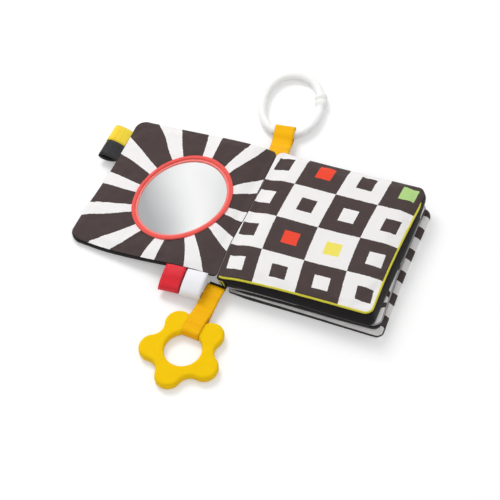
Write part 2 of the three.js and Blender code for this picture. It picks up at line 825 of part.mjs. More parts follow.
const book = new THREE.Group();
const backCover = page('back_cover', ['inner_face', 'outer_face'], {
  upper: '#f4f2f0',
  lower: '#232021',
  edge: '#232021',
  flatCut: restCut,
});
const middleLeaf = page('middle_leaf', ['front_face', 'back_face'], {
  upper: '#f4f2f0',
  lower: '#232021',
  edge: '#f4f2f0',
});
const checkLeaf = page('check_leaf', ['front_face', 'back_face'], {
  upper: '#f4f2f0',
  lower: '#232021',
  edge: '#d8d23a',
});
book.add(placeRight(backCover, backFold, backHeight, 0));
book.add(placeRight(middleLeaf, middleFold, middleHeight, middleLift));
book.add(placeRight(checkLeaf, checkFold, topHeight, checkLift));
book.add(spine());
book.add(strapHem());
book.add(frontCover());
book.add(ringOnTab());
book.add(teetherOnStrap());
book.position.x = -(backFold + pageWidth / 2);

const model = new THREE.Group();
model.add(book);

export default model;
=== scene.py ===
# %% [markdown]
# A padded fabric book for a baby, lying open on a pale floor. On the left is a page of black and
# white rays round a mirror, and on the right a leaf printed with squares lies on two more pages.
# A link ring hangs on a tab at the far end of the spine and a flower teether on a strap at the
# near end. The imported CAD model is the frame: each piece made here stands for one or more of its
# solids. Most pieces ride on its bodies; the three upper pages, the oversewing of two of them and
# the teether's strap ride on none.

import math

import bpy
from mathutils import Matrix, Vector, noise


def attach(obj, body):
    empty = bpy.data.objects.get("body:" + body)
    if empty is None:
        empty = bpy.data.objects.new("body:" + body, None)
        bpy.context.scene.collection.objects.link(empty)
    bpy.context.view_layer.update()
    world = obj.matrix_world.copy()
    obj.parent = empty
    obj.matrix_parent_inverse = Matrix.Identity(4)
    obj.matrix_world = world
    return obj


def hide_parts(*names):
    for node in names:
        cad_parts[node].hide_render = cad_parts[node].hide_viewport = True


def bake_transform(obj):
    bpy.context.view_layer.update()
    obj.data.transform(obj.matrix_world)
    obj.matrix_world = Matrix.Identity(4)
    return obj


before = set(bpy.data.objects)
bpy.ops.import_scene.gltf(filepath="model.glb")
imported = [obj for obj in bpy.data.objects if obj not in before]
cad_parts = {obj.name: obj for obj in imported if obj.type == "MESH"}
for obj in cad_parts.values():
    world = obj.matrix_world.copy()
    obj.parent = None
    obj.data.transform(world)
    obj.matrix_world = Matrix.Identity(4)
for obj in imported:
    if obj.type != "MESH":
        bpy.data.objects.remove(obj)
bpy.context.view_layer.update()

# %% [markdown]
# The camera comes first. It looks
# down at the book from the near right, from far enough away that a long lens fits. It could be
# moved into place by eye. A direction, a distance and the point looked at are clearer, because
# each of them can be changed alone.

# %% The camera
PICTURE = 500  # pixels across
FOCAL = 2140  # pixels
AZIMUTH = math.radians(20)
ELEVATION = math.radians(53)
DISTANCE = 2.0
LOOKED_AT = Vector((-0.0715, -0.024, 0.0))


def linked(name, data):
    """A new object of the scene."""
    piece = bpy.data.objects.new(name, data)
    bpy.context.scene.collection.objects.link(piece)
    return piece


towards = Vector((math.sin(AZIMUTH) * math.cos(ELEVATION),
                  -math.cos(AZIMUTH) * math.cos(ELEVATION),
                  math.sin(ELEVATION)))
camera_data = bpy.data.cameras.new("studio_camera")
camera_data.sensor_width = 36
camera_data.lens = camera_data.sensor_width * FOCAL / PICTURE
camera = linked("studio_camera", camera_data)
camera.location = LOOKED_AT + DISTANCE * towards
camera.rotation_euler = towards.to_track_quat("Z", "Y").to_euler()
bpy.context.scene.camera = camera
bpy.context.scene.view_settings.view_transform = "Standard"
print("lens", round(camera_data.lens, 1), "mm")

# %% [markdown]
# Materials are trees of nodes. They could be joined by hand in the shader editor, but a script
# gives the same tree each time. One function adds a node: it takes the node's kind, what goes into
# its sockets, and its settings. Another turns the usual six-digit colour into the linear numbers
# that a shader works with. Sizes on the book are in millimetres, and MM turns them into metres,
# which Blender works in. The camera, the floor and the lamps are given in metres.

# %% Nodes and colours
MM = 0.001
FULL_TURN = 2 * math.pi


def linear(code, alpha=1.0):
    """An sRGB colour such as #f4605a as linear numbers."""
    parts = [int(code[i:i + 2], 16) / 255 for i in (1, 3, 5)]
    return [p / 12.92 if p <= 0.04045 else ((p + 0.055) / 1.055) ** 2.4 for p in parts] + [alpha]


def plug(tree, node, sockets):
    """Fills sockets: each takes a value, an output, or a node, which stands for its first output."""
    for name, value in sockets.items():
        if isinstance(value, bpy.types.Node):
            value = value.outputs[0]
        if isinstance(value, bpy.types.NodeSocket):
            tree.links.new(value, node.inputs[name])
        else:
            node.inputs[name].default_value = value


def put(tree, kind, *sockets, **settings):
    """Adds a node, such as "Math ADD". Its sockets come in their order, or by name in a dict."""
    kind, _, operation = kind.partition(" ")
    node = tree.nodes.new("ShaderNode" + kind)
    if operation:
        node.operation = operation
    for name, value in settings.items():
        setattr(node, name, value)
    by_name = sockets and isinstance(sockets[0], dict)
    plug(tree, node, sockets[0] if by_name else dict(enumerate(sockets)))
    return node


def blank_material(name):
    """A new material: its tree, its main shader and the place of each point on the object."""
    material = bpy.data.materials.new(name)
    material.use_nodes = True
    tree = material.node_tree
    return material, tree, tree.nodes["Principled BSDF"], put(tree, "TexCoord").outputs["Object"]


print("full white is", linear("#ffffff"))

# %% [markdown]
# The floor is white and takes the soft shadow. It is matt, so nothing shines on it. A floor that
# is only lit would come out grey, so the part of the light that is missing up to white is added
# for the camera alone, and nothing more falls on the book. The same is done for reflections, so
# that the mirror shows a bright room.

# %% The floor
FLOOR_HALF = 9.0  # metres
FLOOR_LIFT = 0.29
floor_mesh = bpy.data.meshes.new("floor")
corners = [(x * FLOOR_HALF, y * FLOOR_HALF, 0) for x, y in ((-1, -1), (1, -1), (1, 1), (-1, 1))]
floor_mesh.from_pydata(corners, [], [(0, 1, 2, 3)])
linked("floor", floor_mesh)

floor_paint, tree, shader, place = blank_material("white_studio_floor")
plug(tree, shader, {"Base Color": linear("#e4e4e4"), "Roughness": 0.95, "Specular IOR Level": 0.0})
path = put(tree, "LightPath").outputs
seen = put(tree, "Math MAXIMUM", path["Is Camera Ray"], path["Is Glossy Ray"])
seen = put(tree, "Math MAXIMUM", seen, path["Is Transmission Ray"])
glow = put(tree, "Emission", linear("#ffffff"), put(tree, "Math MULTIPLY", seen, FLOOR_LIFT))
plug(tree, tree.nodes["Material Output"], {"Surface": put(tree, "AddShader", shader, glow)})
floor_mesh.materials.append(floor_paint)
print("floor", 2 * FLOOR_HALF, "m wide")

# %% [markdown]
# The world is plain white light, but a shiny surface sees a room that is graded across its width.
# That is what gives the mirror its soft grey corner. Two softboxes light the book: a key from
# behind on the left, which sets the direction of the shadow, and a weaker fill from the front. A
# photographed room would light it too, but in plain light each colour shows about as it is written.

# %% World and lamps
AMBIENT = 0.56
ACROSS_ROOM = (0.8, 0.6, 0.0)
ROOM_FROM, ROOM_TO = -0.2, 0.15
ROOM_TONES = ((0.2, "#d0d1d2"), (0.41, "#f1f2f2"), (0.56, "#fdfdfd"), (0.72, "#f5f6f5"))
world = bpy.data.worlds.new("studio")
bpy.context.scene.world = world
world.use_nodes = True
tree = world.node_tree
tree.nodes.clear()
way = put(tree, "TexCoord").outputs["Generated"]
graded = put(tree, "VectorMath DOT_PRODUCT", way, ACROSS_ROOM).outputs["Value"]
ramp = put(tree, "ValToRGB", put(tree, "MapRange", graded, ROOM_FROM, ROOM_TO))
ramp.color_ramp.elements[0].color = linear("#b0b2b3")
ramp.color_ramp.elements[1].color = linear("#e9ebea")
for at, code in ROOM_TONES:
    ramp.color_ramp.elements.new(at).color = linear(code)
path = put(tree, "LightPath").outputs
lit = put(tree, "Background", linear("#ffffff"), AMBIENT)
mirrored = put(tree, "Background", ramp, 1.0)
white = put(tree, "Background", linear("#ffffff"), 1.0)
room = put(tree, "MixShader", path["Is Glossy Ray"], lit, mirrored)
seen = put(tree, "Math MAXIMUM", path["Is Camera Ray"], path["Is Transmission Ray"])
put(tree, "OutputWorld", put(tree, "MixShader", seen, room, white))


def softbox(name, at, power, size):
    """A square lamp that faces the book."""
    data = bpy.data.lights.new(name, "AREA")
    data.energy = power
    data.size = size
    lamp = linked(name, data)
    lamp.location = at
    lamp.rotation_euler = Vector(at).to_track_quat("Z", "Y").to_euler()
    lamp.visible_glossy = False  # the mirror shows the graded room, not the lamp


softbox("key_softbox", (-0.95, 0.75, 1.35), power=16.6, size=0.8)
softbox("fill_softbox", (0.6, -1.3, 1.6), power=5.0, size=1.4)

# %% [markdown]
# Real surfaces are never one flat colour, and never quite smooth. Two small patterns serve every
# finish below: a colour that drifts to another in patches, and a surface with a fine grain. Both
# are noise, which unlike a painted picture has no seams and can be as fine as it needs to be.

# %% Patches and grain


def patchy(tree, place, size, code, other, detail=4.0):
    """A colour that drifts to another in patches of a size in millimetres."""
    patches = put(tree, "TexNoise", {"Vector": place, "Scale": 1 / (size * MM), "Detail": detail})
    return put(tree, "Mix", {"Factor": patches, "A": linear(code), "B": linear(other)},
               data_type="RGBA").outputs["Result"]


def grained(tree, place, size, strength, depth, detail=2.0):
    """A grain of a size and depth in millimetres."""
    grain = put(tree, "TexNoise", {"Vector": place, "Scale": 1 / (size * MM), "Detail": detail})
    return put(tree, "Bump", {"Height": grain, "Strength": strength, "Distance": depth * MM})


print("patterns for every finish: patches and grain")

# %% [markdown]
# Every page is two panels of printed or plain cotton sewn round wadding. Cotton is a plain weave:
# it has no shine, its threads show only close to, and it lies in soft shallow creases, so the eye
# sees an even dull colour that is a little lighter along each crease. Its threads are about
# 0.3 mm apart. Here they are 0.7 mm, because closer ones would be finer than a pixel. Modelled
# one by one they would be far too many, so two crossing waves make them, as a bump.

# %% Cotton
THREAD_STEP, THREAD_DEPTH = 0.7, 0.08  # millimetres
CREASE_SIZE, CREASE_DEPTH = 26, 1.2
DYE_PATCH = 14


def cotton(name, weave=0.25, creases=0.55):
    """Plain woven cotton without its colour."""
    material, tree, shader, place = blank_material(name)
    xyz = put(tree, "SeparateXYZ", place).outputs
    waves = [put(tree, "Math SINE", put(tree, "Math MULTIPLY", xyz[way], FULL_TURN / (THREAD_STEP * MM)))
             for way in ("X", "Y")]
    crease = put(tree, "TexNoise", {"Vector": place, "Scale": 1 / (CREASE_SIZE * MM), "Detail": 3.0,
                                    "Roughness": 0.55, "Distortion": 1.4})
    soft = put(tree, "Bump", {"Height": crease, "Strength": creases, "Distance": CREASE_DEPTH * MM})
    fine = put(tree, "Bump", {"Height": put(tree, "Math MULTIPLY", *waves), "Strength": weave,
                              "Distance": THREAD_DEPTH * MM, "Normal": soft})
    plug(tree, shader, {"Normal": fine, "Roughness": 0.9, "Specular IOR Level": 0.25,
                        "Sheen Weight": 0.12, "Sheen Roughness": 0.5})
    return material, tree, shader, place


def dyed(name, code, other, weave=0.25, creases=0.55):
    """Cotton dyed in the piece: one colour all through, which varies a little with the dye."""
    material, tree, shader, place = cotton(name, weave, creases)
    plug(tree, shader, {"Base Color": patchy(tree, place, DYE_PATCH, code, other)})
    return material


black_cotton = dyed("dyed_black_cotton", "#151213", "#1f1b1c")
print("cotton threads every", THREAD_STEP, "mm")

# %% [markdown]
# The prints are drawn by the material, on a map that each page carries: one number along the
# fold and one across it. The map moves with the cloth, so a print bends where its page does.
# A picture of the print would do as well, but it goes soft close to, and nodes stay sharp.
# A little noise on the map gives the soft, slightly uneven outline of ink on cloth. Ink sits on
# the threads' tops, so white cloth shows between them and black ink looks like a warm dark grey.

# %% Print helpers
INK, INK_WORN = "#463a39", "#504442"
BLEACHED, BLEACHED_SHADE = "#f3f1f0", "#efecec"
INK_PATCH = 9  # millimetres
EDGE_GRAIN = 2.5


def printed(name, creases=0.55):
    """Printed cotton: its map, and the small shifts that make a print's edge uneven."""
    material, tree, shader, place = cotton(name, creases=creases)
    rough = put(tree, "TexNoise", {"Vector": place, "Scale": 1 / (EDGE_GRAIN * MM), "Detail": 2.0})
    shift = put(tree, "VectorMath SUBTRACT", rough.outputs["Color"], (0.5, 0.5, 0.5))
    return material, tree, shader, place, put(tree, "UVMap", uv_map="print"), shift


def inked(tree, shader, place, mask, extra=()):
    """Ink where the mask is 1, cloth where it is 0, then any further colours over both."""
    colour = patchy(tree, place, INK_PATCH, BLEACHED, BLEACHED_SHADE, 5.0)
    layers = [(mask, patchy(tree, place, INK_PATCH, INK, INK_WORN, 5.0))]
    layers += [(where, linear(code)) for where, code in extra]
    for where, over in layers:
        colour = put(tree, "Mix", {"Factor": where, "A": colour, "B": over},
                     data_type="RGBA").outputs["Result"]
    plug(tree, shader, {"Base Color": colour})


def from_middle(tree, value, middle=0.5):
    """How far a value is from the middle of the repeat that it falls in."""
    return put(tree, "Math ABSOLUTE", put(tree, "Math SUBTRACT", put(tree, "Math FRACT", value), middle))


print("ink in patches of", INK_PATCH, "mm")

# %% [markdown]
# The leaf on top is a grid of squares, light and dark in turn, each with a small square of the
# other colour in its middle. Four of the small squares are red, green or yellow. The whole parts
# of the map's two numbers say which cell a point is in, and the rest says where in the cell it is.

# %% The check print
INNER_SQUARE = 0.185  # half its side, in cells
INNER_AT = (0.515, 0.495)  # its middle, in cells
UNEVEN = 0.022  # how far the outlines stray, in cells
COLOURED = (((1, 0), "#f04a32"), ((1, 2), "#ef4a34"), ((3, 0), "#b3d888"), ((2, 2), "#f3e465"))

check_print, tree, shader, place, page_map, shift = printed("check_printed_cotton")
wavy = put(tree, "VectorMath MULTIPLY", shift, (UNEVEN, UNEVEN, 0.0))
cells = put(tree, "SeparateXYZ", put(tree, "VectorMath ADD", page_map, wavy)).outputs
column, row = (put(tree, "Math FLOOR", cells[way]) for way in ("X", "Y"))
dark = put(tree, "Math FLOORED_MODULO", put(tree, "Math ADD", column, row), 2.0)
off = [from_middle(tree, cells[way], middle) for way, middle in zip(("X", "Y"), INNER_AT)]
inner = put(tree, "Math LESS_THAN", put(tree, "Math MAXIMUM", *off), INNER_SQUARE)
swapped = put(tree, "Math ABSOLUTE", put(tree, "Math SUBTRACT", dark, inner))
extra = []
for (c, r), code in COLOURED:
    here = put(tree, "Math MULTIPLY", *(put(tree, "Math COMPARE", number, wanted, 0.1)
                                        for number, wanted in ((column, c), (row, r))))
    extra.append((put(tree, "Math MULTIPLY", here, inner), code))
inked(tree, shader, place, swapped, extra)
print("check print with", len(extra), "coloured squares")

# %% [markdown]
# The mirror page has twelve dark rays that widen from the mirror to the edge. They are drawn as by
# hand: the angle of a point round the mirror says whether it is on a ray, and slow noise on that
# angle keeps the edges from being ruled lines.

# %% The ray print
RAYS = 12
RAY_SHARE = 0.62  # dark part of each step between rays
RAY_TURN = 12.6  # degrees from the page's own axis to the middle of a ray
RAY_SWAY = 0.05
RAY_FRAY = 0.012
WHOLE_TURNS = 100.5  # keeps the steps above zero, with a ray in the middle of each

ray_print, tree, shader, place, page_map, shift = printed("ray_printed_cotton", creases=0.7)
xyz = put(tree, "SeparateXYZ", page_map).outputs
angle = put(tree, "Math ARCTAN2", xyz["Y"], xyz["X"])
slow = put(tree, "TexNoise", {"Vector": page_map, "Scale": 3.0, "Detail": 0.0})
sway = put(tree, "Math MULTIPLY", put(tree, "Math SUBTRACT", slow, 0.5), RAY_SWAY)
fray = put(tree, "Math MULTIPLY", put(tree, "SeparateXYZ", shift), RAY_FRAY)
turned = put(tree, "Math ADD", put(tree, "Math ADD", angle, sway), fray)
turned = put(tree, "Math SUBTRACT", turned, math.radians(RAY_TURN))
steps = put(tree, "Math ADD", put(tree, "Math MULTIPLY", turned, RAYS / FULL_TURN), WHOLE_TURNS)
on_ray = put(tree, "Math LESS_THAN", from_middle(tree, steps), RAY_SHARE / 2)
inked(tree, shader, place, on_ray)
print(RAYS, "rays")

# %% [markdown]
# Little shows of the two pages below: a border of black squares on the back cover, and the edge of
# a pattern of large rings on the middle leaf. Along the middle leaf's near side a band of ink is
# painted shade, where the check leaf above keeps the light off. A plain map in millimetres is
# enough for both.

# %% The prints of the lower pages, and a band of painted shade
MAP_MM = 0.01  # a millimetre on the map of these pages
BORDER_SQUARE = 12.8
BORDER_STEP = 26.9
BORDER_START = -14.0
BORDER_FROM = 148.8

square_print, tree, shader, place, page_map, _ = printed("square_border_printed_cotton")
xyz = put(tree, "SeparateXYZ", page_map).outputs
steps = put(tree, "Math DIVIDE", put(tree, "Math SUBTRACT", xyz["Y"], BORDER_START * MAP_MM),
            BORDER_STEP * MAP_MM)
within = put(tree, "Math FRACT", put(tree, "Math ADD", steps, 10.0))
on_square = put(tree, "Math LESS_THAN", within, BORDER_SQUARE / BORDER_STEP)
at_border = put(tree, "Math GREATER_THAN", xyz["X"], BORDER_FROM * MAP_MM)
inked(tree, shader, place, put(tree, "Math MULTIPLY", on_square, at_border))

RING_STEP = 46.0
RING_REACH = 0.44  # from a ring's middle to its line, in steps
RING_LINE = 0.055  # half the line's width, in steps
# Where the band of painted shade runs along the middle leaf's near side, in millimetres
PAINTED_SHADE_FROM = -69.0
PAINTED_SHADE_TO = 137.0
ring_print, tree, shader, place, page_map, _ = printed("ring_printed_cotton")
xyz = put(tree, "SeparateXYZ", page_map).outputs
off = [from_middle(tree, put(tree, "Math DIVIDE", xyz[way], RING_STEP * MAP_MM)) for way in ("X", "Y")]
squares = [put(tree, "Math POWER", distance, 2.0) for distance in off]
away = put(tree, "Math SQRT", put(tree, "Math ADD", *squares))
on_ring = put(tree, "Math COMPARE", away, RING_REACH, RING_LINE)
# painted shade: ink along the near side, where the check leaf above shades the middle leaf
painted_shade_band = put(tree, "Math MULTIPLY", put(tree, "Math LESS_THAN", xyz["Y"], PAINTED_SHADE_FROM * MAP_MM),
              put(tree, "Math LESS_THAN", xyz["X"], PAINTED_SHADE_TO * MAP_MM))
inked(tree, shader, place, put(tree, "Math MAXIMUM", on_ring, painted_shade_band))
print("border squares every", BORDER_STEP, "mm, rings every", RING_STEP, "mm")

# %% [markdown]
# Each page has its own frame: u runs from the fold to the free edge, v along the fold towards the
# link ring, and w up from the middle of the padding. A page of cloth is never quite square or
# flat, so its fold, edges and height are smooth curves through a few measured shifts, all in
# millimetres. height goes from the fold to the free edge, and near and far say how much further
# the page's two sides rise. fold_x and edge_x shift its ends along X, from near to far, and near_y
# and far_y its sides along Y, from the fold out. seam is the seam's height at the corners, under is
# how much deeper the underside hangs, and the two flares are how far its lower panel reaches out.

# %% The pages' shape
PAGE_WIDTH = 145
PAGE_LENGTH = 155
PAGE_CORNER = 9
SIDE_DRAW = 1.5
PAD_HALF = 3.7
LOW_HEIGHT = 2.9
CROWN_RUN = 14
HEM_WIDTH = 6
HEM_HALF = 0.95
HEM_RUN = 15
FLOOR_ROOM = 0.05  # under the pages that lie on the floor
PAGE_ROOM = 0.45  # between a page and the one below
THINNEST = 0.6
SPINE_FROM_MIDDLE = -80.5  # the spine's place along X, from the middle of the back cover

COVER = {
    "fold": -3, "side": -1, "run": 0.9945,
    "height": (19.4, 17.8, 11.6, 6.2, 4.0),
    "near": (0, -1.5, -1.5, -0.6, -0.2), "far": (0, 2.5, 5.0, 6.0, 6.0),
    "fold_x": (-2.0, -2.6, -0.2, 0.9, 1.9), "edge_x": (-7.0, -5.9, -2.1, 1.4, 4.6),
    "near_y": (0.5, 0.5, 0.8, 2.6, 7.0), "far_y": (2.6, 2.6, 3.4, 3.3, 1.3),
    "seam": (2.6, 2.6, 2.6, 2.6), "corners": (4, 5, 11, 10), "under": (0, 0, 0, 0, 0),
    "flare_near": (0, 0, 0, 0, 0), "flare_free": (0, 0, 0, 0, 0),
}
CHECK = {
    "fold": 2.6, "side": 1, "run": 0.999,
    "height": (19.4, 20.8, 22.2, 23.9, 25.4),
    "near": (0, 1.0, 1.5, 1.5, 1.5), "far": (0, 0, 0, 0, 0),
    "fold_x": (-6.9, -7.4, -5.0, -3.9, -2.9), "edge_x": (-5.3, -4.6, -3.0, -1.2, 0.2),
    "near_y": (1.3, 1.7, 1.6, 1.8, 2.6), "far_y": (4.4, 5.0, 5.4, 5.0, 3.8),
    "seam": (2.6, -0.6, 2.6, 0.2), "corners": (3, 7, 6, 9), "under": (1.4, 2.8, 4.6, 6.2, 7.4),
    "flare_near": (3.0, 5.4, 5.6, 6.0, 6.0), "flare_free": (5.0, 6.4, 6.8, 5.0, 1.0),
}
MIDDLE = {
    "fold": 4.9, "side": 1, "run": 0.9998,
    "height": (11.0, 11.8, 12.5, 13.3, 14.0),
    "near": (0, 0, 0, 0, 0), "far": (0, 0, 0, 0, 0),
    "fold_x": (0, 0, 0, 0, 0), "edge_x": (1.6, 1.2, 0.8, 0.6, 0.6),
    "near_y": (-1.0, -1.2, -1.2, -0.6, 1.6), "far_y": (-2.5, -3, -3, -2.6, -2.2),
    "seam": (2.6, 2.6, 1.8, 0.6), "corners": (4, 9, 7, 9), "under": (0.2, 0.8, 1.4, 2.2, 3.0),
    "flare_near": (0.4, 0.6, 0.4, 0.2, 0), "flare_free": (0.4, 0.4, 0.2, 0.1, 0),
}
BACK = {
    "fold": 8, "side": 1, "run": 1.0,
    "height": (3.2, 3.2, 3.2, 3.2, 3.2),
    "near": (0, 0, 0, 0, 0), "far": (0, 0, 0, 0, 0),
    "fold_x": (-1, -0.5, 0, 0, 0), "edge_x": (1.6, 2.2, 2.4, 2.6, 2.6),
    "near_y": (-0.6, -1.6, -1.9, -1.6, -0.4), "far_y": (-4.7, -4.7, -4.0, -2.6, -1.2),
    "seam": (1.6, 0.4, -1.0, -0.6), "corners": (3, 9, 5, 9), "under": (0, 0, 0, 0, 0),
    "flare_near": (0.3, 0.3, 0.3, 0.3, 0.3), "flare_free": (0.2, 0.2, 0.1, 0, 0),
}
BELOW = {id(CHECK): MIDDLE, id(MIDDLE): BACK}
print("pages", PAGE_WIDTH, "by", PAGE_LENGTH, "mm")

# %% [markdown]
# From those numbers comes the page's middle surface, and then a point at any height above
# it. Curves through a few values are enough, because cloth bends slowly.

# %% The middle of a page


def held(value, low=0.0, high=1.0):
    return min(max(value, low), high)


def between(a, b, share):
    return a + (b - a) * share


def smooth(share):
    share = held(share)
    return share * share * (3 - 2 * share)


def through(values, share):
    """A smooth curve through evenly spaced values."""
    last = len(values) - 1
    t = held(share) * last
    i = min(int(t), last - 1)
    f = t - i
    a, b, c, d = values[max(i - 1, 0)], values[i], values[i + 1], values[min(i + 2, last)]
    return 0.5 * (2 * b + (c - a) * f + (2 * a - 5 * b + 4 * c - d) * f ** 2
                  + (3 * b - a - 3 * c + d) * f ** 3)


def page_middle(page, u, v):
    """A point of the page's middle surface, in millimetres from the spine."""
    s = held(u / PAGE_WIDTH)
    t = held(v / PAGE_LENGTH + 0.5)
    lean = 2 * t - 1
    near, far = through(page["near"], s), through(page["far"], s)
    z = through(page["height"], s) + (far - near) / 2 * lean + (far + near) / 2 * lean ** 2
    dx = between(through(page["fold_x"], t), through(page["edge_x"], t), s)
    dy = between(through(page["near_y"], s), through(page["far_y"], s), t)
    return Vector((page["fold"] + page["side"] * u * page["run"] + dx, v + dy, z))


def page_point(page, u, v, w):
    """A point of the page, w above its middle surface, in metres."""
    here = page_middle(page, u, v)
    along = page_middle(page, u + 1, v) - page_middle(page, u - 1, v)
    across = page_middle(page, u, v + 1) - page_middle(page, u, v - 1)
    up = along.cross(across).normalized()
    if up.z < 0:
        up.negate()
    at = here + w * up
    return Vector((at.x + SPINE_FROM_MIDDLE, at.y, at.z)) * MM


print("the cover's free edge is", round(page_middle(COVER, PAGE_WIDTH, 0).z, 1), "mm up")

# %% [markdown]
# A page's outline has rounded corners, and its sides are drawn in a little by the wadding.
# Its two faces are crowned: they rise from the seam in a quarter of an ellipse and stay low
# at the fold, where the hem is flat. The underside sinks until it rests on what is below.

# %% The outline and the two faces


def ease(distance, run):
    """Quarter of an ellipse: 0 at an edge, 1 once run away from it."""
    k = 1 - held(distance / run)
    return math.sqrt(1 - k * k)


def draw_in(along, length):
    return SIDE_DRAW * math.sin(math.pi * held((along - PAGE_CORNER) / (length - 2 * PAGE_CORNER)))


def free_edge(v):
    return PAGE_WIDTH - draw_in(v + PAGE_LENGTH / 2, PAGE_LENGTH)


def side_edge(u):
    return PAGE_LENGTH / 2 - draw_in(u, PAGE_WIDTH)


def rounded_place(page, u, v):
    """Moves a point of the plain rectangle to its place in the page with round corners."""
    by_fold = u < PAGE_WIDTH / 2
    radius = page["corners"][(0 if by_fold else 2) + (1 if v > 0 else 0)]
    centre = radius if by_fold else PAGE_WIDTH - radius
    p = (u - centre) / radius
    p = min(p, 0) if by_fold else max(p, 0)
    q = (abs(v) - PAGE_LENGTH / 2 + radius) / radius
    if p != 0 and q > 0:
        inner = PAGE_LENGTH / 2 - radius
        u = centre + radius * p * math.sqrt(1 - q * q / 2)
        v = math.copysign(inner + radius * q * math.sqrt(1 - p * p / 2), v)
    v *= side_edge(u) / (PAGE_LENGTH / 2)
    u *= free_edge(v) / PAGE_WIDTH
    return u, v


def fullness(u):
    return math.sin(math.pi / 2 * held((u - HEM_WIDTH) / HEM_RUN))


def seam_height(page, u, v):
    fold_near, fold_far, free_near, free_far = page["seam"]
    t = held(v / PAGE_LENGTH + 0.5)
    at_fold, at_free = between(fold_near, fold_far, t), between(free_near, free_far, t)
    return between(at_fold, at_free, held(u / PAGE_WIDTH))


def edge_closeness(u, v, run):
    """1 at the three free sides of a page, 0 once run in from them."""
    return 1 - held(min(free_edge(v) - u, side_edge(u) - abs(v)) / run)


def page_top(page, u, v):
    crown = ease(free_edge(v) - u, CROWN_RUN) * ease(side_edge(u) - abs(v), CROWN_RUN)
    return between(HEM_HALF, between(seam_height(page, u, v), PAD_HALF, crown), fullness(u))


def page_bottom(page, u, v):
    """The underside fills the room down to the page below, or to the floor."""
    crown = ease(free_edge(v) - u, CROWN_RUN) * ease(side_edge(u) - abs(v), CROWN_RUN)
    depth = through(page["under"], held(u / PAGE_WIDTH))
    low = -between(HEM_HALF, between(LOW_HEIGHT, PAD_HALF, crown) + depth, fullness(u))
    here = page_middle(page, u, v)
    below = BELOW.get(id(page))
    rest = FLOOR_ROOM
    if below:
        bu, bv = here.x - below["fold"], here.y
        if bu > 0:
            bu = min(bu, free_edge(bv) - 0.01)
            bv = math.copysign(min(abs(bv), side_edge(bu) - 0.01), bv)
            rest = page_middle(below, bu, bv).z + page_top(below, bu, bv) + PAGE_ROOM
    return min(max(low, rest - here.z), -THINNEST)


def flared(page, u, v, share):
    """The lower panel reaches out further than the upper one at the near side and free edge."""
    near = through(page["flare_near"], held(u / PAGE_WIDTH))
    outwards = held(-v / (PAGE_LENGTH / 2)) ** 3
    free = through(page["flare_free"], held(v / PAGE_LENGTH + 0.5))
    return u + share * free * held(u / PAGE_WIDTH) ** 4, v - share * near * outwards


print("drawn in by", SIDE_DRAW, "mm at each side")

# %% [markdown]
# A padded page is made as one closed cushion: a grid of points for the upper panel, another for
# the lower panel, and a few rows between them for the wall. The seam pulls the cloth into small
# puckers, and the wadding under it is never quite even, so the height of each point takes two
# scales of noise. On the mirror page the panel dips to a flat seat inside the window. A box with a
# subdivision surface is quicker to make, but its seam, its window and its map are hard to place.

# %% The grid, the window and the lumps
MIRROR_FROM_FOLD = 63.2
MIRROR_ALONG = -1.6
MIRROR_NARROW = 0.943  # the page's curve draws the window in across the fold
MIRROR_LONG = 1.06
WINDOW = 46.6
RIM_STEPS = 6
LUMP_SIZE, LUMP_HEIGHT = 34, 0.6
PUCKER_SIZE, PUCKER_HEIGHT, PUCKER_RUN = 6.5, 0.8, 13


def mirror_place(reach, angle):
    """A place on the mirror page, from its distance and direction from the mirror's middle."""
    return (MIRROR_FROM_FOLD - reach * MIRROR_NARROW * math.cos(angle),
            MIRROR_ALONG + reach * MIRROR_LONG * math.sin(angle))


def mirror_reach(u, v):
    return math.hypot((u - MIRROR_FROM_FOLD) / MIRROR_NARROW, (v - MIRROR_ALONG) / MIRROR_LONG)


def stations(length, rim, rim_steps, step):
    """Places along a side, closer together in the rim at both ends."""
    rims = [rim * i / rim_steps for i in range(rim_steps)]
    count = round((length - 2 * rim) / step)
    middle = [rim + (length - 2 * rim) * i / count for i in range(count + 1)]
    return rims + middle + [length - r for r in reversed(rims)]


def page_grid(step):
    return (stations(PAGE_WIDTH, PAGE_CORNER, RIM_STEPS, step),
            [v - PAGE_LENGTH / 2 for v in stations(PAGE_LENGTH, PAGE_CORNER, RIM_STEPS, step)])


def rim_of(columns, rows):
    """Column and row of each grid point round the rim, in order."""
    return ([(i, 0) for i in range(columns - 1)] + [(columns - 1, j) for j in range(rows - 1)]
            + [(i, rows - 1) for i in range(columns - 1, 0, -1)] + [(0, j) for j in range(rows - 1, 0, -1)])


def lumps(page, u, v):
    """Unevenness of the wadding and puckers beside the seams, in millimetres."""
    seed = page["fold"] * 7.0
    broad = noise.noise(Vector((u / LUMP_SIZE, v / LUMP_SIZE, seed))) * LUMP_HEIGHT
    pucker = noise.noise(Vector((u / PUCKER_SIZE, v / PUCKER_SIZE, seed + 3))) * PUCKER_HEIGHT
    close = edge_closeness(u, v, PUCKER_RUN)
    away = fullness(u) * (1 - smooth(close * 1.6 - 0.6))
    return broad * away + pucker * close * (1 - close) * 4 * fullness(u)


print("mirror window", WINDOW, "mm from its middle")

# %% [markdown]
# A real page swells because its cloth is a little larger than its seams. A cloth simulation does
# the same: pressure from inside lifts the upper panel over its filling while the seams are held,
# and it wrinkles as sewn cloth does. Sculpting by hand would do it too, but a script can't repeat
# that. The rise is capped, so the page stays within its size.

# %% The filling
FILL_FRAMES = 20
FILL_CAP = 0.9  # millimetres
FILLING = {"quality": 4, "mass": 0.2, "vertex_group_mass": "seam", "use_pressure": True,
           "uniform_pressure_force": 4.0, "shrink_min": -0.009, "tension_stiffness": 20,
           "bending_stiffness": 0.3}


def mesh_piece(name, points, faces, body, materials):
    """A smooth-shaded piece that rides on a body, or on none."""
    mesh = bpy.data.meshes.new(name)
    mesh.from_pydata(points, [], faces)
    for material in materials:
        mesh.materials.append(material)
    mesh.shade_smooth()
    piece = linked(name, mesh)
    if body:
        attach(piece, body)
    return piece


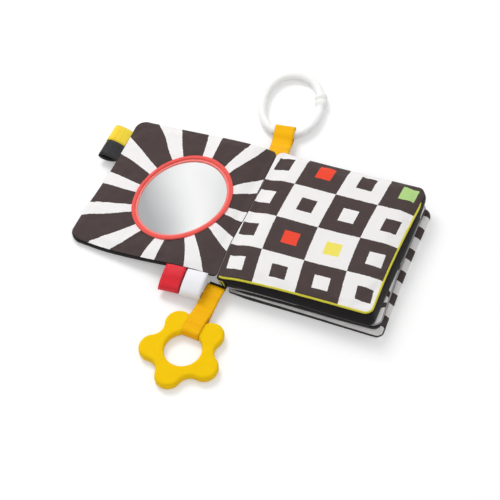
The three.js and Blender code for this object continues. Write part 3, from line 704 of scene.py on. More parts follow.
def filled(piece, held_points):
    """Lets the upper panel swell like cloth over wadding, with its seam held."""
    before = [v.co.copy() for v in piece.data.vertices]
    seam = piece.vertex_groups.new(name="seam")
    seam.add(sorted(held_points), 1.0, "REPLACE")
    cloth = piece.modifiers.new("filling", "CLOTH")
    for name, value in FILLING.items():
        setattr(cloth.settings, name, value)
    cloth.settings.effector_weights.gravity = 0.0
    cloth.collision_settings.use_collision = False
    for frame_number in range(1, FILL_FRAMES + 1):
        bpy.context.scene.frame_set(frame_number)
    shaped = piece.evaluated_get(bpy.context.evaluated_depsgraph_get()).data
    after = [v.co.copy() for v in shaped.vertices]
    piece.modifiers.remove(cloth)
    bpy.context.scene.frame_set(1)
    moved = 0.0
    for vertex, old, new in zip(piece.data.vertices, before, after):
        step = held(new.z - old.z, -FILL_CAP * MM, FILL_CAP * MM)
        moved = max(moved, abs(step))
        vertex.co = old + Vector((0, 0, step))
    print(piece.name, "moved", round(moved / MM, 2), "mm at most by the filling")


print("filling: at most", FILL_CAP, "mm in", FILL_FRAMES, "frames")

# %% [markdown]
# Now the cushion itself. Faces of the upper panel get the print, the rest get black cotton, and
# the seam between panel and wall is marked sharp, so that it shows as a line. The back cover's
# print wraps over its free edge, as its cloth was cut a little wider.

# %% One cushion
CUSHION_STEP = 2.4  # millimetres, as all below but the rows
WALL_ROWS = 6
WALL_BULGE = 0.9
WRAPPED_EDGE = 4
WINDOW_SEAT = 1.2  # height of the flat inside the window
WINDOW_SLOPE = 2.2
WINDOW_HELD = 3


def wall_row(page, places, share):
    """Points round the wall, at a share of the way down from the upper panel."""
    row = []
    for n, at in enumerate(places):
        along = places[(n + 1) % len(places)] - places[n - 1]
        out = Vector((along.y, -along.x)).normalized()
        u, v = flared(page, at.x, at.y, share)
        bulge = WALL_BULGE * math.sin(math.pi * share) * fullness(at.x)
        w = between(page_top(page, at.x, at.y), page_bottom(page, at.x, at.y), share)
        row.append(page_point(page, u + out.x * bulge, v + out.y * bulge, w))
    return row


def lay_print(piece, page, loops, panel, flat, maps, rows):
    """Gives each face its cloth and each corner its place on the print's map."""
    layer = piece.data.uv_layers.new(name="print")
    top = len(flat)
    wall = {}
    for loop in loops[1:]:
        wall.update(zip(loop, loops[0]))
    for polygon in piece.data.polygons:
        upper = [k if k < top else wall.get(k, 0) for k in polygon.vertices]
        wrapped = page is BACK and all(k in wall or k < top for k in polygon.vertices)
        wrapped = wrapped and all(flat[divmod(k, rows)][0] > PAGE_WIDTH - WRAPPED_EDGE for k in upper)
        polygon.material_index = 0 if polygon.index < panel or wrapped else 1
        for k, vertex in zip(polygon.loop_indices, upper):
            layer.data[k].uv = maps[vertex]
    crease = piece.data.attributes.new("sharp_edge", "BOOLEAN", "EDGE")
    seam = set(loops[0])
    for edge in piece.data.edges:
        crease.data[edge.index].value = edge.vertices[0] in seam and edge.vertices[1] in seam


def cushion(name, page, body, front, map_of, window=0):
    """One padded page. map_of gives the print's map from a place on the page."""
    us, vs = page_grid(CUSHION_STEP)
    rows = len(vs)
    flat = {(i, j): rounded_place(page, u, v) for i, u in enumerate(us) for j, v in enumerate(vs)}
    points = []
    for u, v in flat.values():
        w = page_top(page, u, v) + lumps(page, u, v)
        if window:
            w = between(w, WINDOW_SEAT, smooth((window - mirror_reach(u, v)) / WINDOW_SLOPE))
        points.append(page_point(page, u, v, w))
    top = len(points)
    for u, v in flat.values():
        points.append(page_point(page, *flared(page, u, v, 1.0), page_bottom(page, u, v)))
    faces = []
    for i in range(len(us) - 1):
        for j in range(rows - 1):
            a, b = i * rows + j, (i + 1) * rows + j
            faces.append((a, b, b + 1, a + 1) if page["side"] > 0 else (a, a + 1, b + 1, b))
    panel = len(faces)
    faces += [tuple(top + k for k in reversed(face)) for face in faces]
    rim = rim_of(len(us), rows)
    places = [Vector(flat[at]) for at in rim]
    loops = [[i * rows + j for i, j in rim]]
    for k in range(1, WALL_ROWS):
        loops.append(list(range(len(points), len(points) + len(rim))))
        points += wall_row(page, places, k / WALL_ROWS)
    loops.append([top + k for k in loops[0]])
    for upper, lower in zip(loops, loops[1:]):
        for k in range(len(rim)):
            n = (k + 1) % len(rim)
            face = (upper[k], lower[k], lower[n], upper[n])
            faces.append(face if page["side"] > 0 else face[::-1])
    piece = mesh_piece(name, points, faces, body, (front, black_cotton))
    lay_print(piece, page, loops, panel, flat, [map_of(u, v) for u, v in flat.values()], rows)
    held_points = set(range(top, 2 * top)) | set(loops[0])
    for (i, j), (u, v) in flat.items():
        if u < HEM_WIDTH or (window and mirror_reach(u, v) < window + WINDOW_HELD):
            held_points.add(i * rows + j)
    filled(piece, held_points)
    return piece


print("cushions in steps of", CUSHION_STEP, "mm, walls in", WALL_ROWS, "rows")

# %% [markdown]
# Each print needs its map. The check's columns bow a little, because the leaf is soft and lies
# askew. The rays were drawn by hand on the real page, so no two are alike: the map turns each
# place to where it would lie among even rays, and the print draws it there.

# %% Maps of the check and the rays
CELL = 41.0
CELL_ALONG = 41.6
THIRD_LINE = 66.6  # from the spine to the line between the second and third columns
SECOND_ROW_END = 5.2
COLUMN_BOW = (4.0, 0.3, -0.5, 2.1, 6.2)  # how far the columns bend aside, from near to far
ROW_SAG, SAG_RUN = 1.9, 80
FOLD_SAG, FOLD_RUN = 1.0, 35
# The two sides of each ray, in degrees round the mirror's middle, rounded to whole ones.
RAY_SIDES = ((2, 22), (34, 53), (63, 83), (94, 114), (126, 145), (156, 173),
             (184, 202), (213, 233), (244, 263), (274, 295), (306, 324), (335, 351))
RAY_BEND = 3.3  # degrees that a ray bends by, one way inside BEND_REACH and the other way outside
BEND_REACH, BEND_RUN = 65, 30
BEND_SIDE = 65  # degrees, the direction in which rays bend most


def check_map(u, v):
    at = page_middle(CHECK, u, v)
    bow = through(COLUMN_BOW, at.y / PAGE_LENGTH + 0.5)
    sag = ROW_SAG * math.sin(math.pi * held(u / PAGE_WIDTH)) * held(1 - abs(at.y) / SAG_RUN)
    sag += FOLD_SAG * held(1 - u / FOLD_RUN)
    return (at.x - THIRD_LINE - bow) / CELL + 2, 2 - (at.y + sag - SECOND_ROW_END) / CELL_ALONG


def ray_map(u, v):
    """Turns a place among the hand-drawn rays to where it would lie among even ones."""
    x, y = MIRROR_FROM_FOLD - u, v - MIRROR_ALONG
    reach, angle = math.hypot(x, y), math.atan2(y, x)
    bend = RAY_BEND * math.cos(angle - math.radians(BEND_SIDE))
    bend *= held((reach - BEND_REACH) / BEND_RUN, -1, 1)
    first = RAY_SIDES[0][0]
    at = (math.degrees(angle) - bend - first) % 360 + first
    even = at
    step = 360 / RAYS
    half = step / 2 * RAY_SHARE
    for k, (start, end) in enumerate(RAY_SIDES):
        after = RAY_SIDES[(k + 1) % RAYS][0] + (360 if k == RAYS - 1 else 0)
        middle = RAY_TURN + step * k
        if start <= at <= end:
            even = between(middle - half, middle + half, (at - start) / (end - start))
        elif end < at < after:
            even = between(middle + half, middle + step - half, (at - end) / (after - end))
    even = math.radians(even)
    return reach * math.cos(even) * MAP_MM, reach * math.sin(even) * MAP_MM


def place_map(page):
    """A map for a page whose print is laid out straight in millimetres."""
    def of(u, v):
        at = page_middle(page, u, v)
        return at.x * MAP_MM, at.y * MAP_MM
    return of


print("check cells", CELL, "by", CELL_ALONG, "mm")

# %% [markdown]
# The four pages. A page that is hinged has to bend where it is sewn to the spine or to the page
# below. Only the back cover rides on a body here; the other three pages are left on none, with
# their place baked into their points.

# %% The four pages
BENT_RUN = 7  # millimetres from the fold; the point there is worked out, and not used


def hinged(piece, page):
    """Works out two points at the page's fold, which are not kept, and bakes the piece's place into its
    points.
    """
    page_point(page, 0, 0, 0)
    page_point(page, BENT_RUN, 0, 0)
    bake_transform(piece)


cover_pad = cushion("front_cover_pad", COVER, None, ray_print, ray_map, window=WINDOW)
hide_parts("front_cover_inner_face", "front_cover_outer_face", "front_cover_wadding")
hinged(cover_pad, COVER)
check_pad = cushion("check_leaf_pad", CHECK, None, check_print, check_map)
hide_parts("check_leaf_front_face", "check_leaf_back_face", "check_leaf_wadding")
middle_pad = cushion("middle_leaf_pad", MIDDLE, None, ring_print, place_map(MIDDLE))
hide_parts("middle_leaf_front_face", "middle_leaf_back_face", "middle_leaf_wadding")
back_pad = cushion("back_cover_pad", BACK, "spine_and_back_cover", square_print, place_map(BACK))
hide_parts("back_cover_inner_face", "back_cover_outer_face", "back_cover_wadding")
hinged(middle_pad, MIDDLE)
hinged(check_pad, CHECK)
print("cushion points", [len(o.data.vertices) for o in (cover_pad, check_pad, middle_pad, back_pad)])

# %% [markdown]
# The seams are oversewn: thread goes over and over the edge, so the edge looks like a thin cord
# of slanted stitches. It is made as a tube round the page, with the slant in its material and
# painted shade between the stitches. The check leaf's thread is filament polyester, which is bright
# and a little glossy; the others are spun cotton, which is duller. Stitches modelled one by one would
# be many hundreds of small loops, and would look the same from here.

# %% Oversewing thread
STITCH_STEP = 2.3  # millimetres, as the two below
STITCH_SLANT = 1.4
STITCH_DEPTH = 0.35
CORD_SIDES = 8


def thread(name, code, painted_groove_shade):
    """Oversewing thread, slanted across its cord, with painted shade between the stitches."""
    material, tree, shader, _ = blank_material(name)
    run = put(tree, "SeparateXYZ", put(tree, "UVMap", uv_map="cord")).outputs
    slant = put(tree, "Math ADD", run["X"], put(tree, "Math MULTIPLY", run["Y"], STITCH_SLANT))
    wave = put(tree, "Math SINE", put(tree, "Math MULTIPLY", slant, FULL_TURN / STITCH_STEP))
    height = put(tree, "Math ABSOLUTE", wave)
    # painted shade: the colour goes to the darker groove colour where the stitches' bump is low
    colour = put(tree, "Mix", {"Factor": put(tree, "Math POWER", height, 0.6), "A": linear(painted_groove_shade),
                               "B": linear(code)}, data_type="RGBA")
    bump = put(tree, "Bump", {"Height": height, "Strength": 0.8, "Distance": STITCH_DEPTH * MM})
    plug(tree, shader, {"Base Color": colour.outputs["Result"], "Normal": bump, "Roughness": 0.6,
                        "Sheen Weight": 0.2})
    return material


yellow_thread = thread("yellow_polyester_thread", "#f3ea2a", "#cfc622")
pale_thread = thread("pale_cotton_thread", "#c9c8c8", "#6d6a6b")
black_thread = thread("black_cotton_thread", "#2a2728", "#151314")


def tube_faces(rows, sides, closed=False):
    """Faces between rows of points that go round a tube. An open tube gets a face at each end."""
    faces = []
    for i in range(rows if closed else rows - 1):
        n = (i + 1) % rows
        for k in range(sides):
            m = (k + 1) % sides
            faces.append((i * sides + k, i * sides + m, n * sides + m, n * sides + k))
    if not closed:
        faces.append(tuple(reversed(range(sides))))
        faces.append(tuple((rows - 1) * sides + k for k in range(sides)))
    return faces


def cord_round(name, path, radius, body, material):
    """A thin closed cord along points in metres, with a map along and round it in millimetres."""
    count = len(path)
    points, lengths = [], [0.0]
    for i, at in enumerate(path):
        after = path[(i + 1) % count]
        lengths.append(lengths[-1] + (after - at).length / MM)
        along = (after - path[i - 1]).normalized()
        side = along.cross(Vector((0, 0, 1))).normalized()
        up = side.cross(along)
        for k in range(CORD_SIDES):
            angle = FULL_TURN * k / CORD_SIDES
            points.append(at + radius * MM * (math.cos(angle) * side + math.sin(angle) * up))
    faces = tube_faces(count, CORD_SIDES, closed=True)
    piece = mesh_piece(name, points, faces, body, (material,))
    layer = piece.data.uv_layers.new(name="cord")
    turn = FULL_TURN * radius / CORD_SIDES
    for n in range(len(faces)):
        i, k = divmod(n, CORD_SIDES)
        for corner, (a, b) in enumerate(((0, 0), (0, 1), (1, 1), (1, 0))):
            layer.data[4 * n + corner].uv = (lengths[i + a], (k + b) * turn)
    return piece


print("stitches every", STITCH_STEP, "mm")

# %% [markdown]
# The oversewing shows at the near side and the free edge. At the fold and the far side the cloth
# is turned under, so there the cord is drawn in and down until the cushion hides it. On the back
# cover it is hidden at the free edge too, where the print wraps over.

# %% Oversewn edges
EDGE_STEP = 2.0
CORD_OUT, CORD_IN = 0.6, -1.7  # outside the page's edge where it shows, and inside where it doesn't
CORD_SINK, CORD_TUCK = 0.35, 2.4
CORD_SWAY, SWAY_SIZE = 0.25, 9
FAR_HIDDEN, FAR_RUN = 52, 18  # along the fold: hidden from here on, over this run
FOLD_HIDDEN, FOLD_SHOWS = 0.5, 3
WRAP_HIDDEN, WRAP_RUN = 8, 6  # in from the back cover's free edge
WRAP_NEAR, WRAP_NEAR_RUN = 66, 8


def tucked_in(page, u, v):
    """1 where a seam is hidden, and 0 where it shows."""
    hidden = max(smooth((v - FAR_HIDDEN) / FAR_RUN), 1 - smooth((u - FOLD_HIDDEN) / FOLD_SHOWS))
    if page is BACK:
        at_edge = smooth((u - PAGE_WIDTH + WRAP_HIDDEN) / WRAP_RUN)
        hidden = max(hidden, at_edge * smooth((v + WRAP_NEAR) / WRAP_NEAR_RUN))
    return hidden


def page_outline(page):
    """Places round a page, a little outside its edge where the seam shows."""
    us, vs = page_grid(EDGE_STEP)
    ring = [Vector(rounded_place(page, us[i], vs[j])) for i, j in rim_of(len(us), len(vs))]
    moved = []
    for i, at in enumerate(ring):
        along = ring[(i + 1) % len(ring)] - ring[i - 1]
        reach = between(CORD_OUT, CORD_IN, tucked_in(page, at.x, at.y))
        moved.append(at + reach * Vector((along.y, -along.x)).normalized())
    return moved


def oversewn(name, page, body, material, radius, node):
    path = []
    for u, v in page_outline(page):
        sway = CORD_SWAY * noise.noise(Vector((u / SWAY_SIZE, v / SWAY_SIZE, page["fold"])))
        w = page_top(page, u, v) - CORD_SINK + sway - CORD_TUCK * tucked_in(page, u, v)
        path.append(page_point(page, u, v, w))
    piece = cord_round(name, path, radius, body, material)
    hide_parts(node)
    return piece


yellow_cord = oversewn("check_leaf_oversewing", CHECK, None, yellow_thread, 1.0,
                       "check_leaf_edging")
pale_cord = oversewn("middle_leaf_oversewing", MIDDLE, None, pale_thread, 0.6,
                     "middle_leaf_edging")
hinged(yellow_cord, CHECK)
hinged(pale_cord, MIDDLE)
oversewn("back_cover_oversewing", BACK, "spine_and_back_cover", black_thread, 0.7,
         "back_cover_edging")
print("edge cords of", [len(o.data.vertices) for o in (yellow_cord, pale_cord)], "points")

# %% [markdown]
# The mirror is a sheet of silvered plastic film, safe for a baby. Metal is laid on it as a vapour,
# so it reflects like a mirror with a trace of haze, and the image in it is bent a little, because
# the film bulges over the wadding. A flat disc would show one even grey, so this one is a shallow
# dome, and its rim follows the page.

# %% The mirror
mirror_film, tree, shader, place = blank_material("silvered_acrylic_film")
plug(tree, shader, {"Metallic": 1.0, "Base Color": linear("#fafafa"), "Roughness": 0.08,
                    "Normal": grained(tree, place, 60, 0.25, 1.0, 1.0)})

MIRROR_TOP = 2.4
MIRROR_RADIUS = 46.2
MIRROR_DOME = 2.6
MIRROR_RINGS = 20
MIRROR_AROUND = 96


def disc(name, radius, body, material):
    """A round sheet on the mirror page. Its rim lies on the page, its middle is a shallow dome."""
    around = MIRROR_AROUND
    turns = [FULL_TURN * j / around for j in range(around)]
    rim = [page_point(COVER, *mirror_place(radius, angle), MIRROR_TOP) for angle in turns]
    middle = sum(rim, Vector()) / around
    across = sum((2 * math.cos(a) * at for a, at in zip(turns, rim)), Vector()) / around
    along = sum((2 * math.sin(a) * at for a, at in zip(turns, rim)), Vector()) / around
    up = across.cross(along).normalized()
    if up.z < 0:
        up.negate()
    points = [middle + up * MIRROR_DOME * MM]
    for i in range(1, MIRROR_RINGS + 1):
        share = i / MIRROR_RINGS
        for a, at in zip(turns, rim):
            plane = math.cos(a) * across + math.sin(a) * along
            left_over = at - middle - plane
            points.append(middle + share * plane + share ** 6 * left_over
                          + up * MIRROR_DOME * (1 - share ** 2) * MM)
    faces = []
    for j in range(around):
        n = (j + 1) % around
        faces.append((0, 1 + j, 1 + n))
        for i in range(MIRROR_RINGS - 1):
            a = 1 + i * around
            faces.append((a + j, a + around + j, a + around + n, a + n))
    return mesh_piece(name, points, faces, body, (material,))


mirror = disc("mirror_film", MIRROR_RADIUS, "front_cover", mirror_film)
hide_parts("mirror_sheet")
print("mirror", round(mirror.dimensions.x, 3), "m across")

# %% [markdown]
# A strip of coral jersey, knitted, cut on the slant and folded in half, is sewn round the mirror's
# window. Cut like that it stretches round the curve, with a few small pleats, and its dull knitted
# face shows a soft light along its top. A torus would be too round and too even for it. It is made
# as a ring through a section of its own, round above and flat below. Its inner lip is a second, lighter
# pink ring laid over the mirror's rim: a painted reflection of the binding in the mirror.

# %% The binding round the mirror
coral = dyed("coral_jersey_binding", "#f4635d", "#ee5953", weave=0.5, creases=0.35)
# A lighter pink for the ring over the mirror's rim: a painted reflection of the binding
coral_painted_reflection = dyed("coral_painted_reflection", "#fa8f88", "#f6827b", weave=0.4, creases=0.2)
BINDING_OUTER = 48.3
BINDING_INNER = 43.6
BINDING_AROUND = 240
PLEATS = 9  # the higher, the more pleats round the ring
PLEAT_ASIDE = 0.4  # part of a pleat that goes sideways


def ring_on_cover(name, section, material, puckers):
    """A closed ring about the mirror's middle, through a section of (radius, w) points."""
    points = []
    for j in range(BINDING_AROUND):
        angle = FULL_TURN * j / BINDING_AROUND
        for k, (radius, w) in enumerate(section):
            at = Vector((math.cos(angle) * PLEATS, math.sin(angle) * PLEATS, k * 0.15))
            pleat = puckers * noise.noise(at)
            place = mirror_place(radius + PLEAT_ASIDE * pleat, angle)
            points.append(page_point(COVER, *place, w + pleat))
    faces = [(a, d, c, b) for a, b, c, d in tube_faces(BINDING_AROUND, len(section), closed=True)]
    return mesh_piece(name, points, faces, "front_cover", (material,))


def half_round(inner, outer, foot, rise, steps=9):
    """The section of a folded strip: round above, flat below."""
    middle, half = (inner + outer) / 2, (outer - inner) / 2
    over = []
    for k in range(steps + 1):
        angle = math.pi * k / steps
        flat = math.copysign(abs(math.cos(angle)) ** 0.6, math.cos(angle))
        over.append((middle + half * flat, foot + rise * math.sin(angle) ** 0.7))
    return over + [(inner + 0.2, foot - 0.8), (outer - 0.2, foot - 0.4)]


strip_section = half_round(BINDING_INNER + 0.9, BINDING_OUTER, foot=3.75, rise=1.35)
lip_section = half_round(BINDING_INNER - 1.3, BINDING_INNER + 1.4, foot=3.2, rise=0.55)
binding = ring_on_cover("mirror_binding_strip", strip_section, coral, puckers=0.22)
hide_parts("mirror_binding")
# The lighter ring over the mirror's rim is a painted reflection of the binding in the mirror
lip = ring_on_cover("mirror_binding_painted_reflection", lip_section, coral_painted_reflection, puckers=0.12)
print("binding", BINDING_INNER, "to", BINDING_OUTER, "mm from the mirror's middle")

# %% [markdown]
# Satin ribbon is woven so that long smooth threads of polyester lie side by side on its face. It
# shines in streaks across the threads, light and deep by turns, and bends in clean curves. Here the
# streaks are painted highlight and shade in its colour. Each ribbon is a thin strip swept along a
# path, thickened, and mapped along its length. A curve with a bevel would bend as well, but the
# strip's own points say where its edges and its map go.

# %% Satin ribbon
SATIN_STEP = 0.9  # millimetres; real threads are 0.2 mm apart, too fine to show
STREAK_ALONG, STREAK_ACROSS = 0.12, 0.02  # streaks to a millimetre
THREAD_SHARE = 0.3  # how much of the bump is thread, beside the streaks


def satin(name, code, shade, gloss=0.33, shine=0.5):
    """Woven satin, with its threads along the ribbon and slow streaks of painted highlight and shade in its
    colour.
    """
    material, tree, shader, _ = blank_material(name)
    run = put(tree, "SeparateXYZ", put(tree, "UVMap", uv_map="ribbon")).outputs
    thread_wave = put(tree, "Math SINE", put(tree, "Math MULTIPLY", run["Y"], FULL_TURN / SATIN_STEP))
    stretched = put(tree, "CombineXYZ", put(tree, "Math MULTIPLY", run["X"], STREAK_ALONG),
                    put(tree, "Math MULTIPLY", run["Y"], STREAK_ACROSS))
    streak = put(tree, "TexNoise", {"Vector": stretched, "Scale": 1.0, "Detail": 3.0})
    # painted highlight and shade: the colour drifts between a lit and a shaded copy in slow streaks
    colour = put(tree, "Mix", {"Factor": streak, "A": linear(code), "B": linear(shade)}, data_type="RGBA")
    height = put(tree, "Math ADD", put(tree, "Math MULTIPLY", thread_wave, THREAD_SHARE), streak)
    bump = put(tree, "Bump", {"Height": height, "Strength": 0.35, "Distance": 0.3 * MM})
    plug(tree, shader, {"Base Color": colour.outputs["Result"], "Normal": bump, "Roughness": gloss,
                        "Specular IOR Level": shine, "Anisotropic": 0.5})
    return material


# The first colour of each ribbon is its painted highlight, the second its painted shade
yellow_satin = satin("yellow_satin_ribbon", "#fff64a", "#f4bc00", gloss=0.28)
black_satin = satin("black_satin_ribbon", "#08080a", "#38383b", gloss=0.28, shine=0.4)
red_satin = satin("red_satin_ribbon", "#fa3040", "#c40e1e", gloss=0.28, shine=0.4)
white_satin = satin("white_satin_ribbon", "#f9f9fc", "#efeff5")
amber_satin = satin("amber_satin_ribbon", "#ffca10", "#f0a200", gloss=0.45, shine=0.15)


def ribbon(name, path, width, place, body, material, thickness=0.6, across=6):
    """A ribbon along (out, up) points; place turns (out, across, up) to metres."""
    points, maps, faces = [], [], []
    run = [0.0]
    for (a, b), (c, d) in zip(path, path[1:]):
        run.append(run[-1] + math.hypot(c - a, d - b))
    for i, (out, up) in enumerate(path):
        for k in range(across + 1):
            side = width * (k / across - 0.5)
            points.append(place(out, side, up))
            maps.append((run[i], side))
    for i in range(len(path) - 1):
        for k in range(across):
            a = i * (across + 1) + k
            faces.append((a, a + across + 1, a + across + 2, a + 1))
    piece = mesh_piece(name, points, faces, body, (material,))
    layer = piece.data.uv_layers.new(name="ribbon")
    for loop in piece.data.loops:
        layer.data[loop.index].uv = maps[loop.vertex_index]
    thick = piece.modifiers.new("thickness", "SOLIDIFY")
    thick.thickness = thickness * MM
    thick.offset = 0.0
    return piece


print("satin threads every", SATIN_STEP, "mm")

# %% [markdown]
# Four short ribbons are folded double and caught in the seams of the mirror page: yellow and black
# on its free edge, white and red on its near side. A folded ribbon springs open into a loop. Its
# path is one formula, pinched at the seam and widest two thirds of the way out.

# %% The ribbon tags
TAG_WIDTH = 19
TAG_REACH = 18.5
SIDE_TAG_REACH = 25.5
TAG_HALF = 5.2
TAG_FOOT = 0.45  # half the gap between its two ends in the seam
TAG_SEAM = 1.65  # height of the seam above the page's middle
TAG_OUT = 0.4  # from the page's edge to the fold's start
TAG_RISE = math.radians(5)
TAG_DROOP = math.radians(22)
TAG_STARTS = {"yellow": 43.6, "black": 24.4, "white": 7.0, "red": 27.6}


def tag_path(reach, steps=36):
    points = []
    for i in range(steps + 1):
        angle = FULL_TURN * i / steps
        points.append((reach * (1 - math.cos(angle)) / 2,
                       TAG_HALF * math.sin(angle) * math.sin(angle / 2) + TAG_FOOT * math.cos(angle / 2)))
    return points


def on_free_edge(middle):
    """Places for a tag on the mirror page's free edge, which rises a little."""
    def place(out, side, up):
        root = free_edge(middle) + TAG_OUT
        return page_point(COVER, root + out * math.cos(TAG_RISE), middle + side,
                          TAG_SEAM + out * math.sin(TAG_RISE) + up)
    return place


def on_near_side(middle):
    """Places for a tag on the mirror page's near side, which droops to the floor."""
    def place(out, side, up):
        root = page_point(COVER, middle + side, -side_edge(middle), TAG_SEAM)
        reach = out * math.cos(TAG_DROOP) + up * math.sin(TAG_DROOP) + TAG_OUT
        fall = up * math.cos(TAG_DROOP) - out * math.sin(TAG_DROOP)
        return root + Vector((0, -reach, fall)) * MM
    return place


for colour, material, where, reach in (
        ("yellow", yellow_satin, on_free_edge, TAG_REACH),
        ("black", black_satin, on_free_edge, TAG_REACH),
        ("white", white_satin, on_near_side, SIDE_TAG_REACH),
        ("red", red_satin, on_near_side, SIDE_TAG_REACH)):
    tag = ribbon(f"{colour}_tag", tag_path(reach), TAG_WIDTH, where(TAG_STARTS[colour] + TAG_WIDTH / 2),
                 "front_cover", material)
    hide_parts(f"tag_{colour}")
print("tags", sorted(TAG_STARTS))

# %% [markdown]
# The spine is a narrow cushion of black cotton that leans from the back cover's fold up to the
# gap between the two upper pages. A box would look like card, so its section is a flat oval, swept
# along the fold and pulled in at both ends, where yellow cord is sewn on.

# %% The spine
SPINE_FOOT = Vector((3.7, 1.3))
SPINE_HEAD = Vector((-1.2, 17.9))
SPINE_UP = SPINE_HEAD - SPINE_FOOT
SPINE_LEFT = Vector((-SPINE_UP.y, SPINE_UP.x)).normalized()
SPINE_HALF = 1.95
SPINE_LENGTH = 153
SPINE_BULGE = 0.4
SPINE_LUMP = 0.22
SPINE_SIDES = 28
SPINE_CORD_AT = 77.4
SPINE_CORD_STEPS = 48


def on_spine(share, left, y):
    """A place by its share of the way up the spine's section, in metres."""
    at = SPINE_FOOT + SPINE_UP * share + SPINE_LEFT * left
    return Vector((at.x + SPINE_FROM_MIDDLE, y, at.y)) * MM


def blunt(value, power):
    """Raises to a power and keeps the sign: below 1 it makes a circle squarer."""
    return math.copysign(abs(value) ** power, value)


def spine_section(y):
    """Points round the spine at one place along it."""
    end = ease(SPINE_LENGTH / 2 - abs(y) + 0.4, 5)
    points = []
    for k in range(SPINE_SIDES):
        angle = FULL_TURN * k / SPINE_SIDES
        share = 0.5 + 0.5 * blunt(math.cos(angle), 0.75)
        lump = SPINE_LUMP * noise.noise(Vector((y / 12, k / 3, 5.0)))
        side = SPINE_HALF * end * blunt(math.sin(angle), 0.7)
        side += lump * math.sin(angle) + SPINE_BULGE * math.sin(math.pi * share)
        points.append(on_spine(share, side, y))
    return points


rings = [y - SPINE_LENGTH / 2 for y in stations(SPINE_LENGTH, 5, RIM_STEPS, 3)]
spine_pad = mesh_piece("spine_pad", [point for y in rings for point in spine_section(y)],
                       tube_faces(len(rings), SPINE_SIDES), "spine_and_back_cover",
                       (black_cotton,))
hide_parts("spine_outer_face", "spine_inner_face", "spine_wadding")

for end, y in (("near", -SPINE_CORD_AT), ("far", SPINE_CORD_AT)):
    turns = [FULL_TURN * k / SPINE_CORD_STEPS for k in range(SPINE_CORD_STEPS)]
    path = [on_spine(0.5 + 0.47 * math.cos(a), 1.9 * math.sin(a), y) for a in turns]
    cord = cord_round(f"spine_cord_{end}", path, 0.7, "spine_and_back_cover",
                      yellow_thread)
    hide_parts(f"spine_edging_{end}")
print("spine of", SPINE_LENGTH, "mm")

# %% [markdown]
# A ribbon that carries something leaves the spine as two plies, opens round what it carries, and
# closes round it in a turn. The same path serves the short tab of the link ring and the longer
# strap of the teether.

# %% Tab and strap
PLY = 0.8
SLACK = 0.3  # room between the plies, and round what they carry
PLY_STEPS = 28
BEND_STEPS = 16
OPENS_FROM = 0.45  # share of the way to the loop at which the plies part
ROUNDNESS = 0.9  # of the loop's end, where 1 is half a circle


def carrying_path(loop_from, loop_to, body_half, drop, lead=0):
    """The path out along the upper ply, round the loop's end, and back along the lower one."""
    start = (PLY + SLACK) / 2
    full = body_half + SLACK + PLY / 2
    turn = full * ROUNDNESS
    end = loop_to + SLACK + PLY / 2
    upper, lower = [], []
    for i in range(PLY_STEPS + 1):
        x = between(-lead, end - turn, i / PLY_STEPS)
        t = held(x / loop_from)
        middle = -drop * smooth(t)
        apart = between(start, full, held((t - OPENS_FROM) / (1 - OPENS_FROM)) ** 2)
        upper.append((x, middle + apart))
        lower.append((x, middle - apart))
    bend = []
    for i in range(1, BEND_STEPS):
        angle = math.pi / 2 - math.pi * i / BEND_STEPS
        bend.append((end - turn + turn * math.cos(angle), -drop + full * math.sin(angle)))
    return upper + bend + lower[::-1]


def outward(x, y, z, heading):
    """Turns (out, across, up) to metres, for a ribbon that starts at a place with a heading."""
    angle = math.radians(heading)

    def place(out, side, up):
        return Vector((x + SPINE_FROM_MIDDLE + out * math.cos(angle) - side * math.sin(angle),
                       y + out * math.sin(angle) + side * math.cos(angle), z + up)) * MM
    return place


TAB_WIDTH = 19.6
TAB_START = (-0.6, 79.5, 15.5)
TAB_HEADING = 98.8
TAB_LOOP_TO = 44.9
TAB_DROP = 9.9
TUBE = 4.2
TUBE_AT = 36.4
on_tab = outward(*TAB_START, TAB_HEADING)
ring_tab = ribbon("ring_tab_ribbon", carrying_path(TUBE_AT - TUBE - SLACK, TAB_LOOP_TO, TUBE, TAB_DROP),
                  TAB_WIDTH, on_tab, "ring_tab", amber_satin, across=8)
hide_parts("ring_tab")

STRAP_WIDTH = 17.5
STRAP_START = (-3.4, -87.6, 10)
STRAP_LEAD = 6.5  # it starts this far back, under the spine's end
STRAP_HEADING = -95.1
STRAP_LOOP_FROM, STRAP_LOOP_TO = 31.8, 50.4
STRAP_DROP = 4.6
STRAP_BEND_HALF = 5.0  # a length before and after its root; the points there are worked out, and not used
TEETHER_HALF = 4
on_strap = outward(*STRAP_START, STRAP_HEADING)
strap_path = carrying_path(STRAP_LOOP_FROM, STRAP_LOOP_TO, TEETHER_HALF, STRAP_DROP, lead=STRAP_LEAD)
strap = ribbon("teether_strap_ribbon", strap_path, STRAP_WIDTH, on_strap, None, amber_satin,
               across=8)
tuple(on_strap(-STRAP_BEND_HALF, 0, 0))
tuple(on_strap(STRAP_BEND_HALF, 0, 0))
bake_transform(strap)
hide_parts("teether_strap")
print("tab", TAB_WIDTH, "mm wide, strap", STRAP_WIDTH, "mm")

# %% [markdown]
# The strap starts in a small fold of black cotton at the end of the spine. A fold is a short wide
# ribbon, bent in a half circle, so the function for ribbons makes it too.

